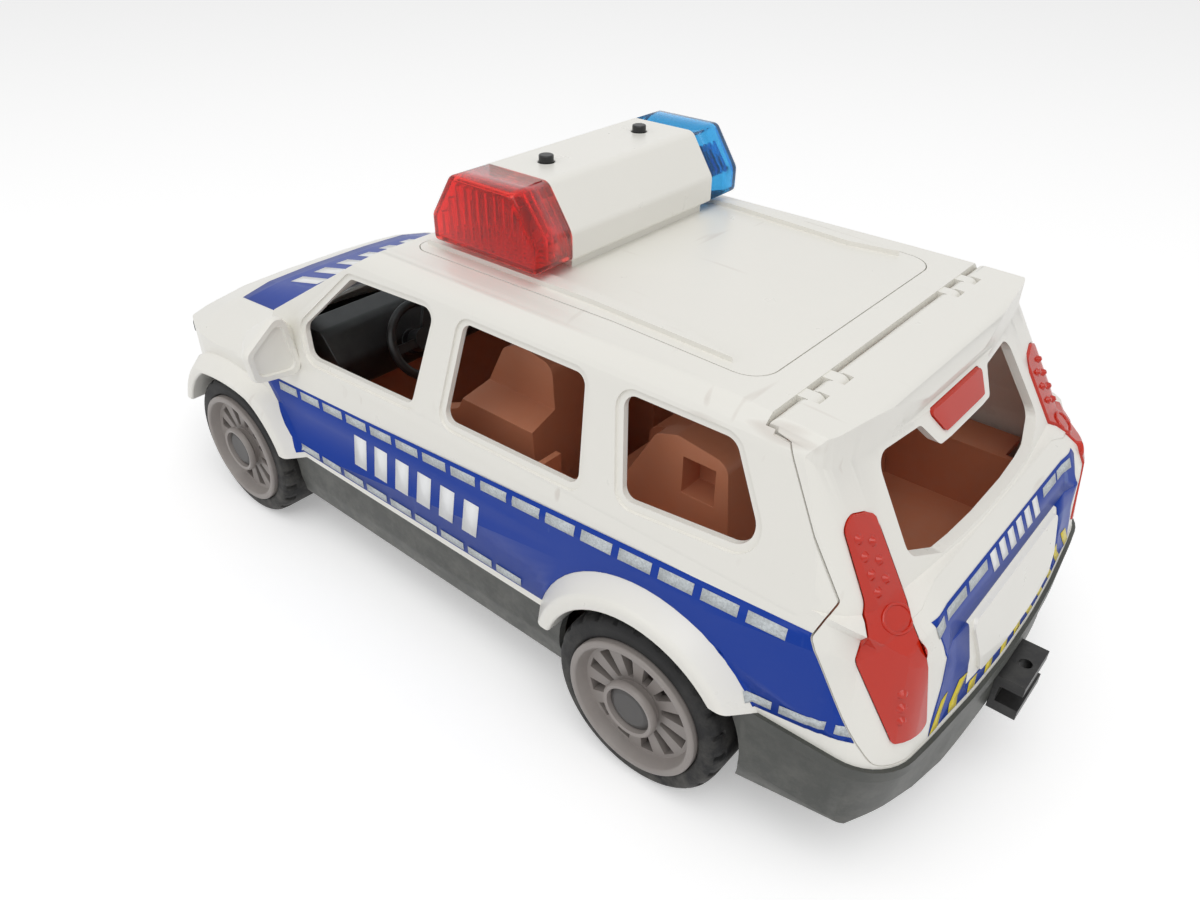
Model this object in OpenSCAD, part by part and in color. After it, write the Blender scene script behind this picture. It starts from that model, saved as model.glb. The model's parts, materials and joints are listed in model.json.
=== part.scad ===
/* [Overall] */
// Distance between the two axles
wheelbase = 172; // [166:1:182]
// From the front axle to the front bumper
front_overhang = 60; // [58:1:66]
// From the rear axle to the rear bumper
rear_overhang = 66; // [64:1:70]
// Width of the body across the doors
body_w = 122.4; // [120:0.2:128]
// Height of the roof crest above the ground
roof_z = 113.3; // [111:0.1:118]
// Thickness of the moulded shells
wall = 2.2; // [1.9:0.1:2.5]
// Assembly gap between neighbouring pieces
gap = 0.3; // [0.2:0.05:0.4]

/* [Body] */
// Height of the joint between the body and the side skirts
sill_z = 34.5; // [33:0.5:37]
// Height of the joint between the body and the rear bumper
lip_z = 43; // [42:0.5:45]
// Height of the ledge below the rear window
ledge_z = 76.5; // [75.5:0.5:78]
// Height of the bonnet at the foot of the windscreen
cowl_z = 75.8; // [75:0.2:77]
// Height of the front edge of the bonnet
hood_z = 68; // [66:0.5:70]
// Radius of the wheel arch openings
arch_r = 28; // [27.5:0.5:29]
// Width of the raised band round each wheel arch
arch_band = 8; // [6:0.5:9]
// How far the wheel arches stand out from the doors
arch_flare = 5.6; // [4:0.2:6.4]
// How far the front bumper stands out from the nose
bumper_proud = 2.5; // [1:0.5:3]
// How far the rear bumper lip stands out from the tail
lip_proud = 1; // [0.5:0.1:1.4]

/* [Openings] */
// Height of the upper edge of the side windows
window_top = 102.2; // [100:0.1:102.6]
// Width of the stepped rim round each side window
window_rim = 1.8; // [1:0.2:2.4]
// Width of the removable roof panel at its rear edge
panel_w = 83; // [80:0.5:85]
// Length of the removable roof panel
panel_l = 107; // [104:0.5:109]

/* [Wheels] */
// Radius of the tyres
tyre_r = 25; // [24:0.2:25.6]
// Width of the tyres
tyre_w = 17.5; // [15:0.5:18]
// Radius of the wheel rims
rim_r = 19.3; // [17.5:0.1:20.5]
// Number of spokes in each rim
spokes = 12; // [8:1:14]
// Radius of the steel axles
axle_r = 1.5; // [1.3:0.1:1.8]
// Running clearance of the axles and pins in their bores
run_fit = 0.05; // [0.03:0.01:0.1]

/* [Tailgate] */
// Radius of the hinge roll along the upper edge
roll_r = 2.2; // [2:0.1:2.3]
// Radius of the steel hinge pins
pin_r = 0.9; // [0.7:0.05:1]
// Width of the shut line between tailgate and body
seam = 0.4; // [0.3:0.05:0.6]

/* [Light bar] */
// Length of the light bar across the roof
bar_w = 84; // [80:1:88]
// Length of the white middle housing
bar_mid_w = 58; // [56:0.5:60]
// Height of the light bar above its lower edge
bar_h = 18.4; // [18:0.2:20]
// Thickness of the light bar mouldings
bar_wall = 1.8; // [1.5:0.1:2]
// Radius of the push buttons
button_r = 1.9; // [1.6:0.1:2.2]
// Distance of each push button from the middle of the bar
button_y = 18.5; // [16:0.5:21]

/* [Interior] */
// Height of the seat backs above the ground
seat_top = 89; // [84:0.5:92]
// Width of each front seat
seat_w = 35; // [30:0.5:36]
// Radius of the steering wheel
steer_r = 11.5; // [10:0.5:13]
// Height of the dashboard
dash_z = 78; // [76:0.5:78.5]
// Height of the cargo floor
cargo_z = 43; // [42:0.5:45]

/* [Tow hitch] */
// How far the hitch reaches behind the bumper
hitch_reach = 6; // [5.5:0.5:9]
// Width of the hitch jaw
hitch_w = 16; // [12:0.5:20]
// Radius of the upright hitch bore
hitch_bore_r = 1.6; // [1.2:0.1:1.8]

/* [Hidden] */
$fn = 64;
fx = wheelbase;
half = body_w / 2;
rear_x = hitch_reach + rear_overhang - (wheelbase + front_overhang + rear_overhang + hitch_reach) / 2;
nose_x = fx + front_overhang - bumper_proud;
tail_x = lip_proud - rear_overhang;
cowl_x = fx - 16;
header_x = fx - 71;
header_z = roof_z - 3.1;
hood_slope = atan((cowl_z - hood_z) / 43);
screen_run = (cowl_x + 0.5 - header_x) / (header_z - cowl_z);
sill_x = tail_x + 12.5;
head_x = tail_x + 27;
head_z = roof_z - 14;
rake = atan((head_x - sill_x) / (head_z - ledge_z));
hinge_x = tail_x + 43.3;
hinge_z = roof_z - 3.9 - roll_r - 0.1;
panel_t = wall - 0.4;
panel_x = tail_x + 53.3;
floor_z = 15;
floor_top = floor_z + 3;
tub_half = half - 6.2;
tub_t = 1.8;
well_y = half - 17.2;
bar_x = 69;
bar_z = roof_z + 1.5;
bar_top = bar_z + bar_h;
board_z = roof_z + 11.7;
rim_y = half + 5.5;
tyre_y = half + 4;
battery_r = 5.25;

// Outlines are lists of corners, each with its own rounding radius
lower_side = [
  [tail_x - 1, -20, 0],
  [nose_x + 1, -20, 0],
  [nose_x + 1, 45, 6],
  [fx + 44, 61, 12],
  [fx + 27, hood_z, 9],
  [cowl_x, cowl_z, 25],
  [cowl_x - 14, ledge_z, 0],
  [tail_x + 9, ledge_z, 1.5],
  [tail_x + 5.6, ledge_z - 3, 2],
  [tail_x + 2.5, ledge_z - 10.5, 6],
  [tail_x - 1, ledge_z - 30.5, 0]
];
lower_plan = mirrored([
  [tail_x, -9, 100],
  [tail_x + 0.8, -24, 100],
  [tail_x + 2.6, -43, 60],
  [tail_x + 4.8, 1.4 - half, 12],
  [-12, -half, 200],
  [fx - 12, -half, 200],
  [fx + 32, 3.6 - half, 60],
  [fx + 48, 12 - half, 14],
  [nose_x - 2.6, -30, 50],
  [nose_x, -10, 60]
]);
door_section = mirrored_up([
  [half + 0.8, -30, 0],
  [half + 0.8, 62, 6],
  [half - 2.4, 75, 3],
  [half - 3.6, 82, 0]
]);
hood_section = mirrored_up([
  [half + 0.5, -110, 0],
  [half + 0.5, 0.6, 9]
]);
cabin_side = [
  [sill_x - (ledge_z - 66) * tan(rake), 66, 0],
  [cowl_x + 0.5 + (cowl_z - 66) * screen_run, 66, 0],
  [header_x, header_z, 10],
  [fx - 88, roof_z, 120],
  [tail_x + 41, roof_z - 3.9, 120],
  [tail_x + 30.2, roof_z - 4.4, 3],
  [tail_x + 28.2, roof_z - 8.7, 1.2],
  [tail_x + 29.6, roof_z - 11.7, 1],
  [head_x, head_z, 0]
];
cabin_section = mirrored_up([
  [half - 2, 60, 0],
  [half - 2, 74, 4],
  [half - 9.8, roof_z - 3.1, 9],
  [34, roof_z - 1.2, 120],
  [17, roof_z - 0.1, 120],
  [6, roof_z + 0.3, 120]
]);
rake_plan = mirrored([
  [0, -14, 120],
  [2.6, -42, 40],
  [4, 3.2 - half, 12],
  [240, -20 - half, 0]
]);
crown_plan = mirrored([
  [tail_x + 28, -14, 100],
  [tail_x + 31.5, -42, 40],
  [tail_x + 33, 8.5 - half, 8],
  [fx + 30, -10 - half, 0]
]);
gate_zone = [
  [tail_x - 40, lip_z + 1, 0],
  [tail_x + 8, lip_z + 1, 3],
  [tail_x + 25.2, ledge_z - 5.5, 1.5],
  [tail_x + 22.5, ledge_z + 2.5, 1.5],
  [hinge_x - 3.6, hinge_z - 0.4, 0],
  [hinge_x, hinge_z - 0.2, 0],
  [hinge_x, roof_z + 30, 0],
  [tail_x - 40, roof_z + 30, 0]
];
front_window = [
  [82.8, 74.8, 3],
  [fx - 44, 72.8, 4],
  [fx - 40.5, 81.5, 3],
  [fx - 61.5, window_top - 1.4, 3],
  [76.6, window_top, 3]
];
middle_window = [
  [23.5, 76.3, 3],
  [70, 75, 3],
  [65.6, window_top, 3],
  [26, window_top + 0.2, 3]
];
rear_window = [
  [-25.5, 82, 5],
  [10.7, 78.6, 3],
  [15, window_top + 0.2, 3],
  [-13.8, window_top + 0.4, 4]
];
gate_window = mirrored_up([
  [26, ledge_z + 0.6, 2],
  [36.2, ledge_z + 4, 3],
  [34.3, head_z, 4],
  [17.8, head_z, 2],
  [13.5, head_z - 5.5, 2]
]);
brake_outline = mirrored_up([
  [10.5, head_z - 3.8, 1],
  [14, head_z + 1.4, 1]
]);
plate_outline = mirrored_up([
  [22, 51, 2],
  [26, 66.5, 2]
]);
tail_lamp = [
  [-12, 48.8, 2],
  [-2.6, 50, 2],
  [6.2, 70.5, 2],
  [4.6, 78.5, 4],
  [9.8, 94.3, 2],
  [0.7, 91.6, 2],
  [-8.2, 70, 4]
];
panel_plan = mirrored([
  [panel_x, -panel_w / 2, 7],
  [panel_x + panel_l, -panel_w / 2 - 1.5, 5]
]);
screen_plan = mirrored([
  [header_x + 3.5, -41, 4],
  [cowl_x - 3, -47.5, 4]
]);
rib_plan = [
  [panel_x + 9, 38.6, 0],
  [panel_x + 22, 35.2, 0],
  [panel_x + panel_l - 4, 35.2, 0],
  [panel_x + panel_l - 2.5, 39.4, 0]
];
headlamp = [
  [31, 46.5, 2],
  [50, 47.5, 3],
  [56, 57, 3],
  [35, 58.5, 3]
];
grille_outline = mirrored_up([
  [25, 38.5, 2],
  [27, 54.5, 2]
]);
bar_section = [
  [bar_x - 18.2, bar_z, 1],
  [bar_x + 18.2, bar_z, 1],
  [bar_x + 18.2, bar_z + 7.2, 3],
  [bar_x + 10.7, bar_top, 3],
  [bar_x - 10.7, bar_top, 3],
  [bar_x - 18.2, bar_z + 7.2, 3]
];
chassis_section = mirrored_up([
  [half - 2.4, floor_z, 3.5],
  [half - 0.3, floor_z + 9, 8],
  [half + 0.4, lip_z + 10, 0]
]);
chassis_side = [
  [tail_x + 10, floor_z, 5],
  [nose_x - 8, floor_z, 5],
  [nose_x + 1, floor_z + 8, 6],
  [nose_x + 1, lip_z + 10, 0],
  [tail_x - 1, lip_z + 10, 0],
  [tail_x - 1, floor_z + 8, 6]
];

function unit(v) = v / norm(v);
function flat(p) = [p.x, p.y];
function out_normal(a, b) = let (d = unit(flat(b) - flat(a))) [d.y, -d.x];
function mirrored(cp) = concat(cp, [for (i = [len(cp) - 1 : -1 : 0]) [cp[i].x, -cp[i].y, cp[i][2]]]);
function mirrored_up(cp) = concat(cp, [for (i = [len(cp) - 1 : -1 : 0]) [-cp[i].x, cp[i].y, cp[i][2]]]);
function corner(cp, i, d) =
  let (
    n = len(cp),
    b = cp[i],
    p = out_normal(cp[(i + n - 1) % n], b),
    q = out_normal(b, cp[(i + 1) % n]),
    k = d / (1 + p * q),
    bend = sign(p.x * q.y - p.y * q.x),
    r = b[2] == 0 ? 0 : max(0.2, b[2] - bend * d)
  )
  [b.x - k * (p.x + q.x), b.y - k * (p.y + q.y), r];
function inset(cp, d) = [for (i = [0 : len(cp) - 1]) corner(cp, i, d)];
function arc_points(a, b, c, r) =
  let (
    u = unit(a - b),
    v = unit(c - b),
    open = acos(max(-1, min(1, u * v))),
    centre = b + unit(u + v) * r / sin(open / 2),
    start = b + u * r / tan(open / 2) - centre,
    turn = (180 - open) * sign(u.y * v.x - u.x * v.y),
    n = ceil(abs(turn) / 9),
    from = atan2(start.y, start.x)
  )
  [for (k = [0 : n]) centre + r * [cos(from + turn * k / n), sin(from + turn * k / n)]];
function outline(cp) =
  let (n = len(cp))
  [
    for (i = [0 : n - 1])
      each cp[i][2] > 0
        ? arc_points(flat(cp[(i + n - 1) % n]), flat(cp[i]), flat(cp[(i + 1) % n]), cp[i][2])
        : [flat(cp[i])]
  ];

module side(cp, w) {
  rotate([90, 0, 0])
    linear_extrude(w, center = true)
      polygon(outline(cp));
}
module plan(cp, z0, z1) {
  translate([0, 0, z0])
    linear_extrude(z1 - z0)
      polygon(outline(cp));
}
module section(cp, x0, x1) {
  translate([x0, 0, 0])
    rotate([90, 0, 90])
      linear_extrude(x1 - x0)
        polygon(outline(cp));
}
module bar_along_y(x, z, r, y0, y1) {
  translate([x, y0, z])
    rotate([-90, 0, 0])
      cylinder(r = r, h = y1 - y0);
}
module block(x0, x1, y0, y1, z0, z1) {
  translate([x0, y0, z0])
    cube([x1 - x0, y1 - y0, z1 - z0]);
}
module both_sides() {
  children();
  mirror([0, 1, 0])
    children();
}

module lower_body(d) {
  intersection() {
    side(inset(lower_side, d), 200);
    plan(inset(lower_plan, d), -25, 90);
    union() {
      section(inset(door_section, d), tail_x - 20, cowl_x + 1);
      translate([cowl_x, 0, cowl_z])
        rotate([0, hood_slope, 0])
          section(inset(hood_section, d), -3, 130);
    }
  }
}
module upper_body(d) {
  intersection() {
    side(inset(cabin_side, d), 200);
    section(inset(cabin_section, d), tail_x - 20, fx + 30);
    union() {
      translate([sill_x + 0.4, 0, ledge_z])
        rotate([0, rake, 0])
          plan(inset(rake_plan, d), -60, 200);
      plan(inset(crown_plan, d), head_z + 1, roof_z + 20);
    }
  }
}
module envelope(d) {
  lower_body(d);
  upper_body(d);
}
module skin(d0, d1) {
  difference() {
    envelope(d0);
    envelope(d1);
  }
}
module roof_skin(d0, d1) {
  difference() {
    upper_body(d0);
    upper_body(d1);
  }
}
module below_waist() {
  block(tail_x - 20, nose_x + 20, -100, 100, -40, sill_z);
  block(tail_x - 20, 0, -100, 100, -40, lip_z);
}
module arch_ring(x) {
  translate([x, 0, tyre_r])
    rotate([-90, 0, 0])
      rotate_extrude()
        polygon(outline([
          [arch_r, half - 5, 0],
          [arch_r + arch_band, half - 5, 0],
          [arch_r + arch_band, half - 0.6, 0],
          [arch_r + 3.4, half + arch_flare, 3],
          [arch_r, half + arch_flare, 0.8]
        ]));
}
module wheel_wells(r) {
  for (x = [0, fx])
    both_sides()
      bar_along_y(x, tyre_r, r, well_y, half + 30);
}
module side_windows(grow) {
  side(inset(front_window, -grow), 200);
  side(inset(middle_window, -grow), 200);
  side(inset(rear_window, -grow), 200);
}
module lamp_prism(d) {
  rotate([90, 0, 45])
    translate([0, 0, -115])
      linear_extrude(57)
        polygon(outline(inset(tail_lamp, d)));
}
module hinge_ears(grow) {
  for (y = [26.2, 36.2])
    both_sides()
      block(hinge_x - roll_r - 0.4, hinge_x + 6, y - grow, y + 3.6 + grow, hinge_z - 5, roof_z + 5);
}

module chassis() {
  color([0.16, 0.16, 0.17])
    difference() {
      union() {
        difference() {
          union() {
            intersection() {
              plan(lower_plan, 0, lip_z);
              section(chassis_section, tail_x - 20, nose_x + 20);
              side(chassis_side, 200);
            }
            intersection() {
              plan(inset(lower_plan, -lip_proud), lip_z - 3.6, lip_z);
              block(tail_x - 20, -20, -100, 100, 0, lip_z);
            }
            intersection() {
              plan(inset(lower_plan, -bumper_proud), floor_z + 5, sill_z - 1.5);
              block(fx + 20, nose_x + 20, -100, 100, 0, lip_z);
            }
          }
          plan(inset(lower_plan, wall + 0.4), floor_top, 90);
          block(0, nose_x + 20, -100, 100, sill_z, 90);
          wheel_wells(arch_r);
        }
        for (x = [0, fx])
          both_sides()
            block(x - 5, x + 5, well_y - 9, well_y - 0.6, floor_top - 1, tyre_r + 6);
      }
      for (x = [0, fx])
        bar_along_y(x, tyre_r, axle_r + run_fit, -half, half);
      screw_places()
        translate([0, 0, -1])
          cylinder(r = 1.35, h = 10);
      screw_places()
        translate([0, 0, -1])
          cylinder(r = 2.8, h = 2.6);
    }
}
module screw_places() {
  for (x = [56, fx - 40])
    for (y = [-1, 1])
      translate([x, y * (tub_half - 7), floor_z])
        children();
}
module chassis_screws() {
  color([0.6, 0.6, 0.62])
    screw_places()
      union() {
        cylinder(r = 2.6, h = 1.6);
        cylinder(r = 1.3, h = 9);
      }
}

module body_shell() {
  color([0.92, 0.91, 0.87])
    difference() {
      union() {
        difference() {
          union() {
            skin(0, wall);
            intersection() {
              roof_skin(panel_t, panel_t + 2);
              difference() {
                plan(inset(panel_plan, -2), 100, roof_z + 5);
                plan(inset(panel_plan, 3), 90, roof_z + 10);
              }
            }
            both_sides()
              arch_ring(0);
            both_sides()
              arch_ring(fx);
          }
          below_waist();
          wheel_wells(arch_r);
          side(inset(gate_zone, -seam), 200);
          block(hinge_x - 6, hinge_x + roll_r + 0.4, -51, 51, hinge_z - 2.6, roof_z + 5);
          side_windows(0);
          difference() {
            side_windows(window_rim);
            envelope(0.7);
          }
          plan(screen_plan, 70, roof_z + 10);
          intersection() {
            roof_skin(-3, panel_t);
            plan(panel_plan, 100, roof_z + 10);
          }
          plan(inset(panel_plan, 3), 100, roof_z + 10);
          both_sides()
            section(headlamp, fx + 15, nose_x + 20);
          section(grille_outline, fx + 15, nose_x + 20);
        }
        intersection() {
          hinge_ears(0);
          union() {
            bar_along_y(hinge_x, hinge_z, roll_r, -45, 45);
            block(hinge_x, hinge_x + roll_r + 2, -45, 45, hinge_z - roll_r, hinge_z + roll_r);
          }
        }
      }
      bar_along_y(hinge_x, hinge_z, pin_r + 0.02, -45, 45);
    }
}
module hinge_pins() {
  color([0.62, 0.62, 0.64])
    both_sides()
      bar_along_y(hinge_x, hinge_z, pin_r, 26.3, 39.7);
}
module windscreen() {
  color([0.75, 0.8, 0.82, 0.5])
    intersection() {
      roof_skin(0.2, 1.8);
      plan(inset(screen_plan, gap), 70, roof_z + 10);
    }
}
module headlamp_lens() {
  color([0.8, 0.82, 0.84, 0.6])
    intersection() {
      difference() {
        lower_body(-0.3);
        lower_body(1.7);
      }
      section(inset(headlamp, gap), fx + 15, nose_x + 20);
    }
}
module headlight_left() {
  headlamp_lens();
}
module headlight_right() {
  mirror([0, 1, 0])
    headlamp_lens();
}
module grille() {
  color([0.12, 0.12, 0.13])
    difference() {
      intersection() {
        difference() {
          lower_body(0.8);
          lower_body(3);
        }
        section(inset(grille_outline, gap), fx + 15, nose_x + 20);
      }
      for (z = [41.2, 45.4, 49.6])
        block(fx + 20, nose_x + 20, -22, 22, z, z + 2.2);
    }
}
module mirror_body() {
  color([0.92, 0.91, 0.87])
    difference() {
      hull() {
        translate([fx - 36, half + 4, 83.5])
          sphere(r = 3.6, $fn = 32);
        translate([fx - 36, half + 11, 78])
          sphere(r = 3.6, $fn = 32);
        translate([fx - 36, half + 10, 69.5])
          sphere(r = 3.6, $fn = 32);
        translate([fx - 36, half - 1, 68])
          sphere(r = 3.6, $fn = 32);
        translate([fx - 30, half - 1, 74])
          sphere(r = 4.5, $fn = 32);
      }
      envelope(0);
      difference() {
        section([
          [half + 1.6, 67.6, 1.5],
          [half + 9.6, 68.8, 2],
          [half + 11.6, 77.4, 2.5],
          [half + 4.6, 84, 2.5],
          [half + 1.6, 82.5, 1]
        ], fx - 41, fx - 38.4);
        envelope(-1);
      }
    }
}
module mirror_left() {
  mirror_body();
}
module mirror_right() {
  mirror([0, 1, 0])
    mirror_body();
}
module tow_hitch() {
  color([0.07, 0.07, 0.08])
    difference() {
      block(-rear_overhang - hitch_reach, tail_x + 4, -hitch_w / 2, hitch_w / 2, 25, 36);
      plan(lower_plan, 0, 60);
      block(-rear_overhang - 20, -rear_overhang - 0.4, -hitch_w, hitch_w, 28, 33);
      translate([-rear_overhang - hitch_reach + 3, 0, 20])
        cylinder(r = hitch_bore_r, h = 20);
    }
}

module cabin_tub() {
  color([0.36, 0.17, 0.11])
    difference() {
      union() {
        tray(44, fx - 31, tub_half, floor_top, 68);
        tray(tail_x + 12, 44 + tub_t, well_y - 0.4, cargo_z - tub_t, 62);
        both_sides()
          block(tail_x + 24, 44 + tub_t, well_y - 0.4 - tub_t, tub_half, 62 - tub_t, 62);
        screw_places()
          translate([0, 0, floor_top - floor_z])
            cylinder(r = 3.4, h = 9);
      }
      block(44 + tub_t, 60, 0.4 - well_y + tub_t, well_y - 0.4 - tub_t, cargo_z, 90);
      block(44 - 1, 44 + tub_t + 1, 0.4 - well_y + tub_t, well_y - 0.4 - tub_t, cargo_z, 90);
      block(tail_x, tail_x + 12 + tub_t, -tub_half, tub_half, cargo_z, 90);
      screw_places()
        cylinder(r = 1.32, h = 9.4);
    }
}
module tray(x0, x1, y, z0, z1) {
  difference() {
    block(x0, x1, -y, y, z0, z1);
    block(x0 + tub_t, x1 - tub_t, tub_t - y, y - tub_t, z0 + tub_t, z1 + 1);
  }
}
module seat_body() {
  color([0.42, 0.2, 0.13]) {
    z = floor_top + tub_t;
    difference() {
      side([
        [50, z, 0],
        [98, z, 0],
        [99, 60, 4],
        [82, 67, 4],
        [72, seat_top - 3, 4],
        [66, seat_top, 3],
        [54, seat_top - 2, 4]
      ], seat_w);
      side([
        [76, 55, 4],
        [110, 53, 0],
        [110, seat_top + 20, 0],
        [66, seat_top + 20, 0],
        [66, seat_top - 4, 4]
      ], seat_w - 9);
    }
  }
}
module driver_seat() {
  translate([0, 25.6, 0])
    seat_body();
}
module passenger_seat() {
  translate([0, -25.6, 0])
    seat_body();
}
module rear_bench() {
  color([0.42, 0.2, 0.13])
    difference() {
      side([
        [-10, cargo_z, 0],
        [42, cargo_z, 0],
        [42.5, 60, 4],
        [26, 66, 4],
        [14, seat_top - 2, 4],
        [8, seat_top, 3],
        [-6, seat_top - 2, 4]
      ], 2 * (well_y - 0.7 - tub_t));
      both_sides()
        translate([0, 21.4, 0])
          side([
            [20, 56, 4],
            [60, 54, 0],
            [60, seat_top + 20, 0],
            [8.5, seat_top + 20, 0],
            [8.5, seat_top - 4, 4]
          ], 30);
      both_sides()
        block(-3, 6, 34, 60, seat_top - 15, seat_top - 5);
    }
}
module column_frame() {
  translate([fx - 55, 25.6, 70])
    rotate([0, 115, 0])
      children();
}
module dashboard() {
  color([0.13, 0.13, 0.14])
    difference() {
      union() {
        side([
          [fx - 47, 58, 3],
          [fx - 33.2, 58, 0],
          [fx - 33.2, 68, 0],
          [fx - 24, 68, 0],
          [fx - 24, 72, 2],
          [fx - 30, dash_z - 0.5, 3],
          [fx - 42, dash_z, 4],
          [fx - 49, 69, 4]
        ], 2 * (tub_half - tub_t - gap));
        column_frame()
          translate([0, 0, 6])
            cylinder(r = 4, h = 10);
      }
      column_frame()
        translate([0, 0, -5])
          cylinder(r = 1.8 + run_fit, h = 24);
    }
}
module steering_wheel() {
  color([0.06, 0.06, 0.06])
    column_frame() {
      rotate_extrude()
        translate([steer_r, 0])
          circle(r = 1.4);
      for (a = [90, 210, 330])
        rotate([0, 0, a])
          block(0, steer_r - 0.6, -1.3, 1.3, -0.7, 0.9);
      translate([0, 0, -1.2])
        cylinder(r = 3.6, h = 5);
      cylinder(r = 1.8, h = 18);
    }
}

module tailgate() {
  color([0.92, 0.91, 0.87])
    difference() {
      union() {
        intersection() {
          skin(0, wall);
          side(gate_zone, 200);
        }
        intersection() {
          bar_along_y(hinge_x, hinge_z, roll_r, -50.6, 50.6);
          upper_body(0);
        }
        intersection() {
          difference() {
            lower_body(-0.8);
            lower_body(1);
          }
          section(plate_outline, tail_x - 20, tail_x + 20);
        }
      }
      section(gate_window, tail_x - 20, tail_x + 36);
      hinge_ears(0.3);
      both_sides()
        bar_along_y(hinge_x, hinge_z, pin_r + run_fit, 20, 45);
      both_sides()
        lamp_prism(0);
      section(brake_outline, tail_x - 20, tail_x + 36);
    }
}
module tail_lamp_lens() {
  color([0.75, 0.06, 0.05, 0.8])
    intersection() {
      skin(-0.5, wall - 0.3);
      lamp_prism(0.2);
    }
}
module tail_light_left() {
  tail_lamp_lens();
}
module tail_light_right() {
  mirror([0, 1, 0])
    tail_lamp_lens();
}
module brake_light() {
  color([0.75, 0.06, 0.05, 0.8])
    intersection() {
      difference() {
        roof_skin(-0.6, wall);
        block(tail_x - 20, tail_x + 60, -40, 40, roof_z - 6, roof_z + 10);
      }
      section(inset(brake_outline, 0.2), tail_x - 20, tail_x + 36);
    }
}

module door_box(d) {
  block(bar_x - 12.4 + d, bar_x + 12.4 - d, d - 28, 28 - d, roof_z - 20, roof_z + 10);
}
module roof_panel() {
  color([0.92, 0.91, 0.87])
    difference() {
      union() {
        intersection() {
          roof_skin(0, panel_t);
          plan(inset(panel_plan, gap), 100, roof_z + 10);
        }
        intersection() {
          roof_skin(panel_t - 0.3, panel_t + 2);
          difference() {
            plan(inset(panel_plan, 3 + gap), 90, roof_z + 10);
            plan(inset(panel_plan, 4.8 + gap), 80, roof_z + 20);
          }
        }
        intersection() {
          roof_skin(-1.3, panel_t);
          both_sides()
            plan(rib_plan, 100, roof_z + 10);
        }
      }
      door_box(0);
    }
}
module light_bar_housing() {
  color([0.92, 0.91, 0.87])
    difference() {
      side(bar_section, bar_mid_w);
      side(inset(bar_section, bar_wall), bar_mid_w + 10);
      block(bar_x - 18.2 + bar_wall, bar_x + 18.2 - bar_wall, -60, 60, bar_z - 5, bar_z + 4);
      for (y = [-button_y, button_y])
        translate([bar_x, y, bar_top - 6])
          cylinder(r = button_r + gap, h = 12);
    }
}
module light_bar_frame() {
  color([0.85, 0.84, 0.8]) {
    x = 18.2 - bar_wall - gap;
    difference() {
      union() {
        block(bar_x - x, bar_x + x, 2 - bar_mid_w / 2, bar_mid_w / 2 - 2, roof_z - 8, bar_z + 1.8);
        for (px = [-9.5, 9.5])
          for (py = [-1, 1])
            translate([bar_x + px, py * (bar_mid_w / 2 - 4), bar_z])
              cylinder(r = 1.3, h = board_z - bar_z);
      }
      block(bar_x - 11.6, bar_x + 11.6, -22.9, 22.9, roof_z - 20, roof_z + 10);
      upper_body(0);
      door_screw_places()
        translate([0, 0, -10])
          cylinder(r = 1.02, h = 14);
    }
  }
}
module door_screw_places() {
  for (y = [-25, 25])
    translate([bar_x, y, roof_z - 0.6])
      children();
}
module battery_door() {
  color([0.88, 0.87, 0.83])
    difference() {
      intersection() {
        roof_skin(0, panel_t);
        door_box(gap);
      }
      door_screw_places()
        translate([0, 0, -5])
          cylinder(r = 1.1, h = 9);
      door_screw_places()
        translate([0, 0, -panel_t - 5])
          cylinder(r = 1.8, h = 6);
    }
}
module battery_door_screws() {
  color([0.6, 0.6, 0.62])
    door_screw_places()
      union() {
        translate([0, 0, -panel_t])
          cylinder(r = 1.7, h = 1);
        translate([0, 0, -panel_t])
          cylinder(r = 1, h = 3.8 + panel_t - 0.6);
      }
}
module lens_form(d) {
  intersection() {
    side(inset(bar_section, d), 200);
    plan(inset(mirrored([
      [bar_x - 18.2, -bar_w / 2, 5],
      [bar_x + 18.2, -bar_w / 2, 5]
    ]), d), bar_z - 5, bar_top + 5);
    section(inset(mirrored_up([
      [bar_w / 2, bar_z - 10, 0],
      [bar_w / 2, bar_top, 4]
    ]), d), bar_x - 40, bar_x + 40);
  }
}
module lens_body() {
  intersection() {
    difference() {
      lens_form(0);
      lens_form(1.6);
    }
    block(bar_x - 40, bar_x + 40, bar_mid_w / 2 + 0.1, bar_w, 0, bar_top + 10);
  }
}
module red_lens() {
  color([0.8, 0.08, 0.06, 0.7])
    lens_body();
}
module blue_lens() {
  color([0.05, 0.2, 0.75, 0.7])
    mirror([0, 1, 0])
      lens_body();
}
module circuit_board() {
  color([0.1, 0.35, 0.16]) {
    block(bar_x - 11, bar_x + 11, 2.2 - bar_mid_w / 2, bar_mid_w / 2 - 2.2, board_z, board_z + 1.2);
    for (y = [-button_y, button_y])
      translate([bar_x, y, board_z])
        cylinder(r = 1.6, h = 3.2);
  }
}
module led_body() {
  translate([bar_x, bar_mid_w / 2 - 2.1, board_z + 0.8])
    rotate([-90, 0, 0]) {
      cylinder(r = 2.6, h = 1);
      cylinder(r = 2.2, h = 6);
      translate([0, 0, 6])
        sphere(r = 2.2);
    }
}
module red_led() {
  color([0.9, 0.3, 0.25])
    led_body();
}
module blue_led() {
  color([0.3, 0.45, 0.9])
    mirror([0, 1, 0])
      led_body();
}
module sounder() {
  color([0.08, 0.08, 0.08])
    translate([bar_x, 0, board_z + 1.2])
      difference() {
        cylinder(r = 6.5, h = 2.4);
        translate([0, 0, 1.4])
          cylinder(r = 1, h = 3);
      }
}
module batteries() {
  color([0.2, 0.22, 0.25])
    for (x = [-1, 1])
      translate([bar_x + x * (battery_r + 0.2), 0, roof_z - 0.1 + battery_r]) {
        bar_along_y(0, 0, battery_r, -21.4, 21.4);
        bar_along_y(0, 0, 1.9, -22.2, 22.2);
      }
}
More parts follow.
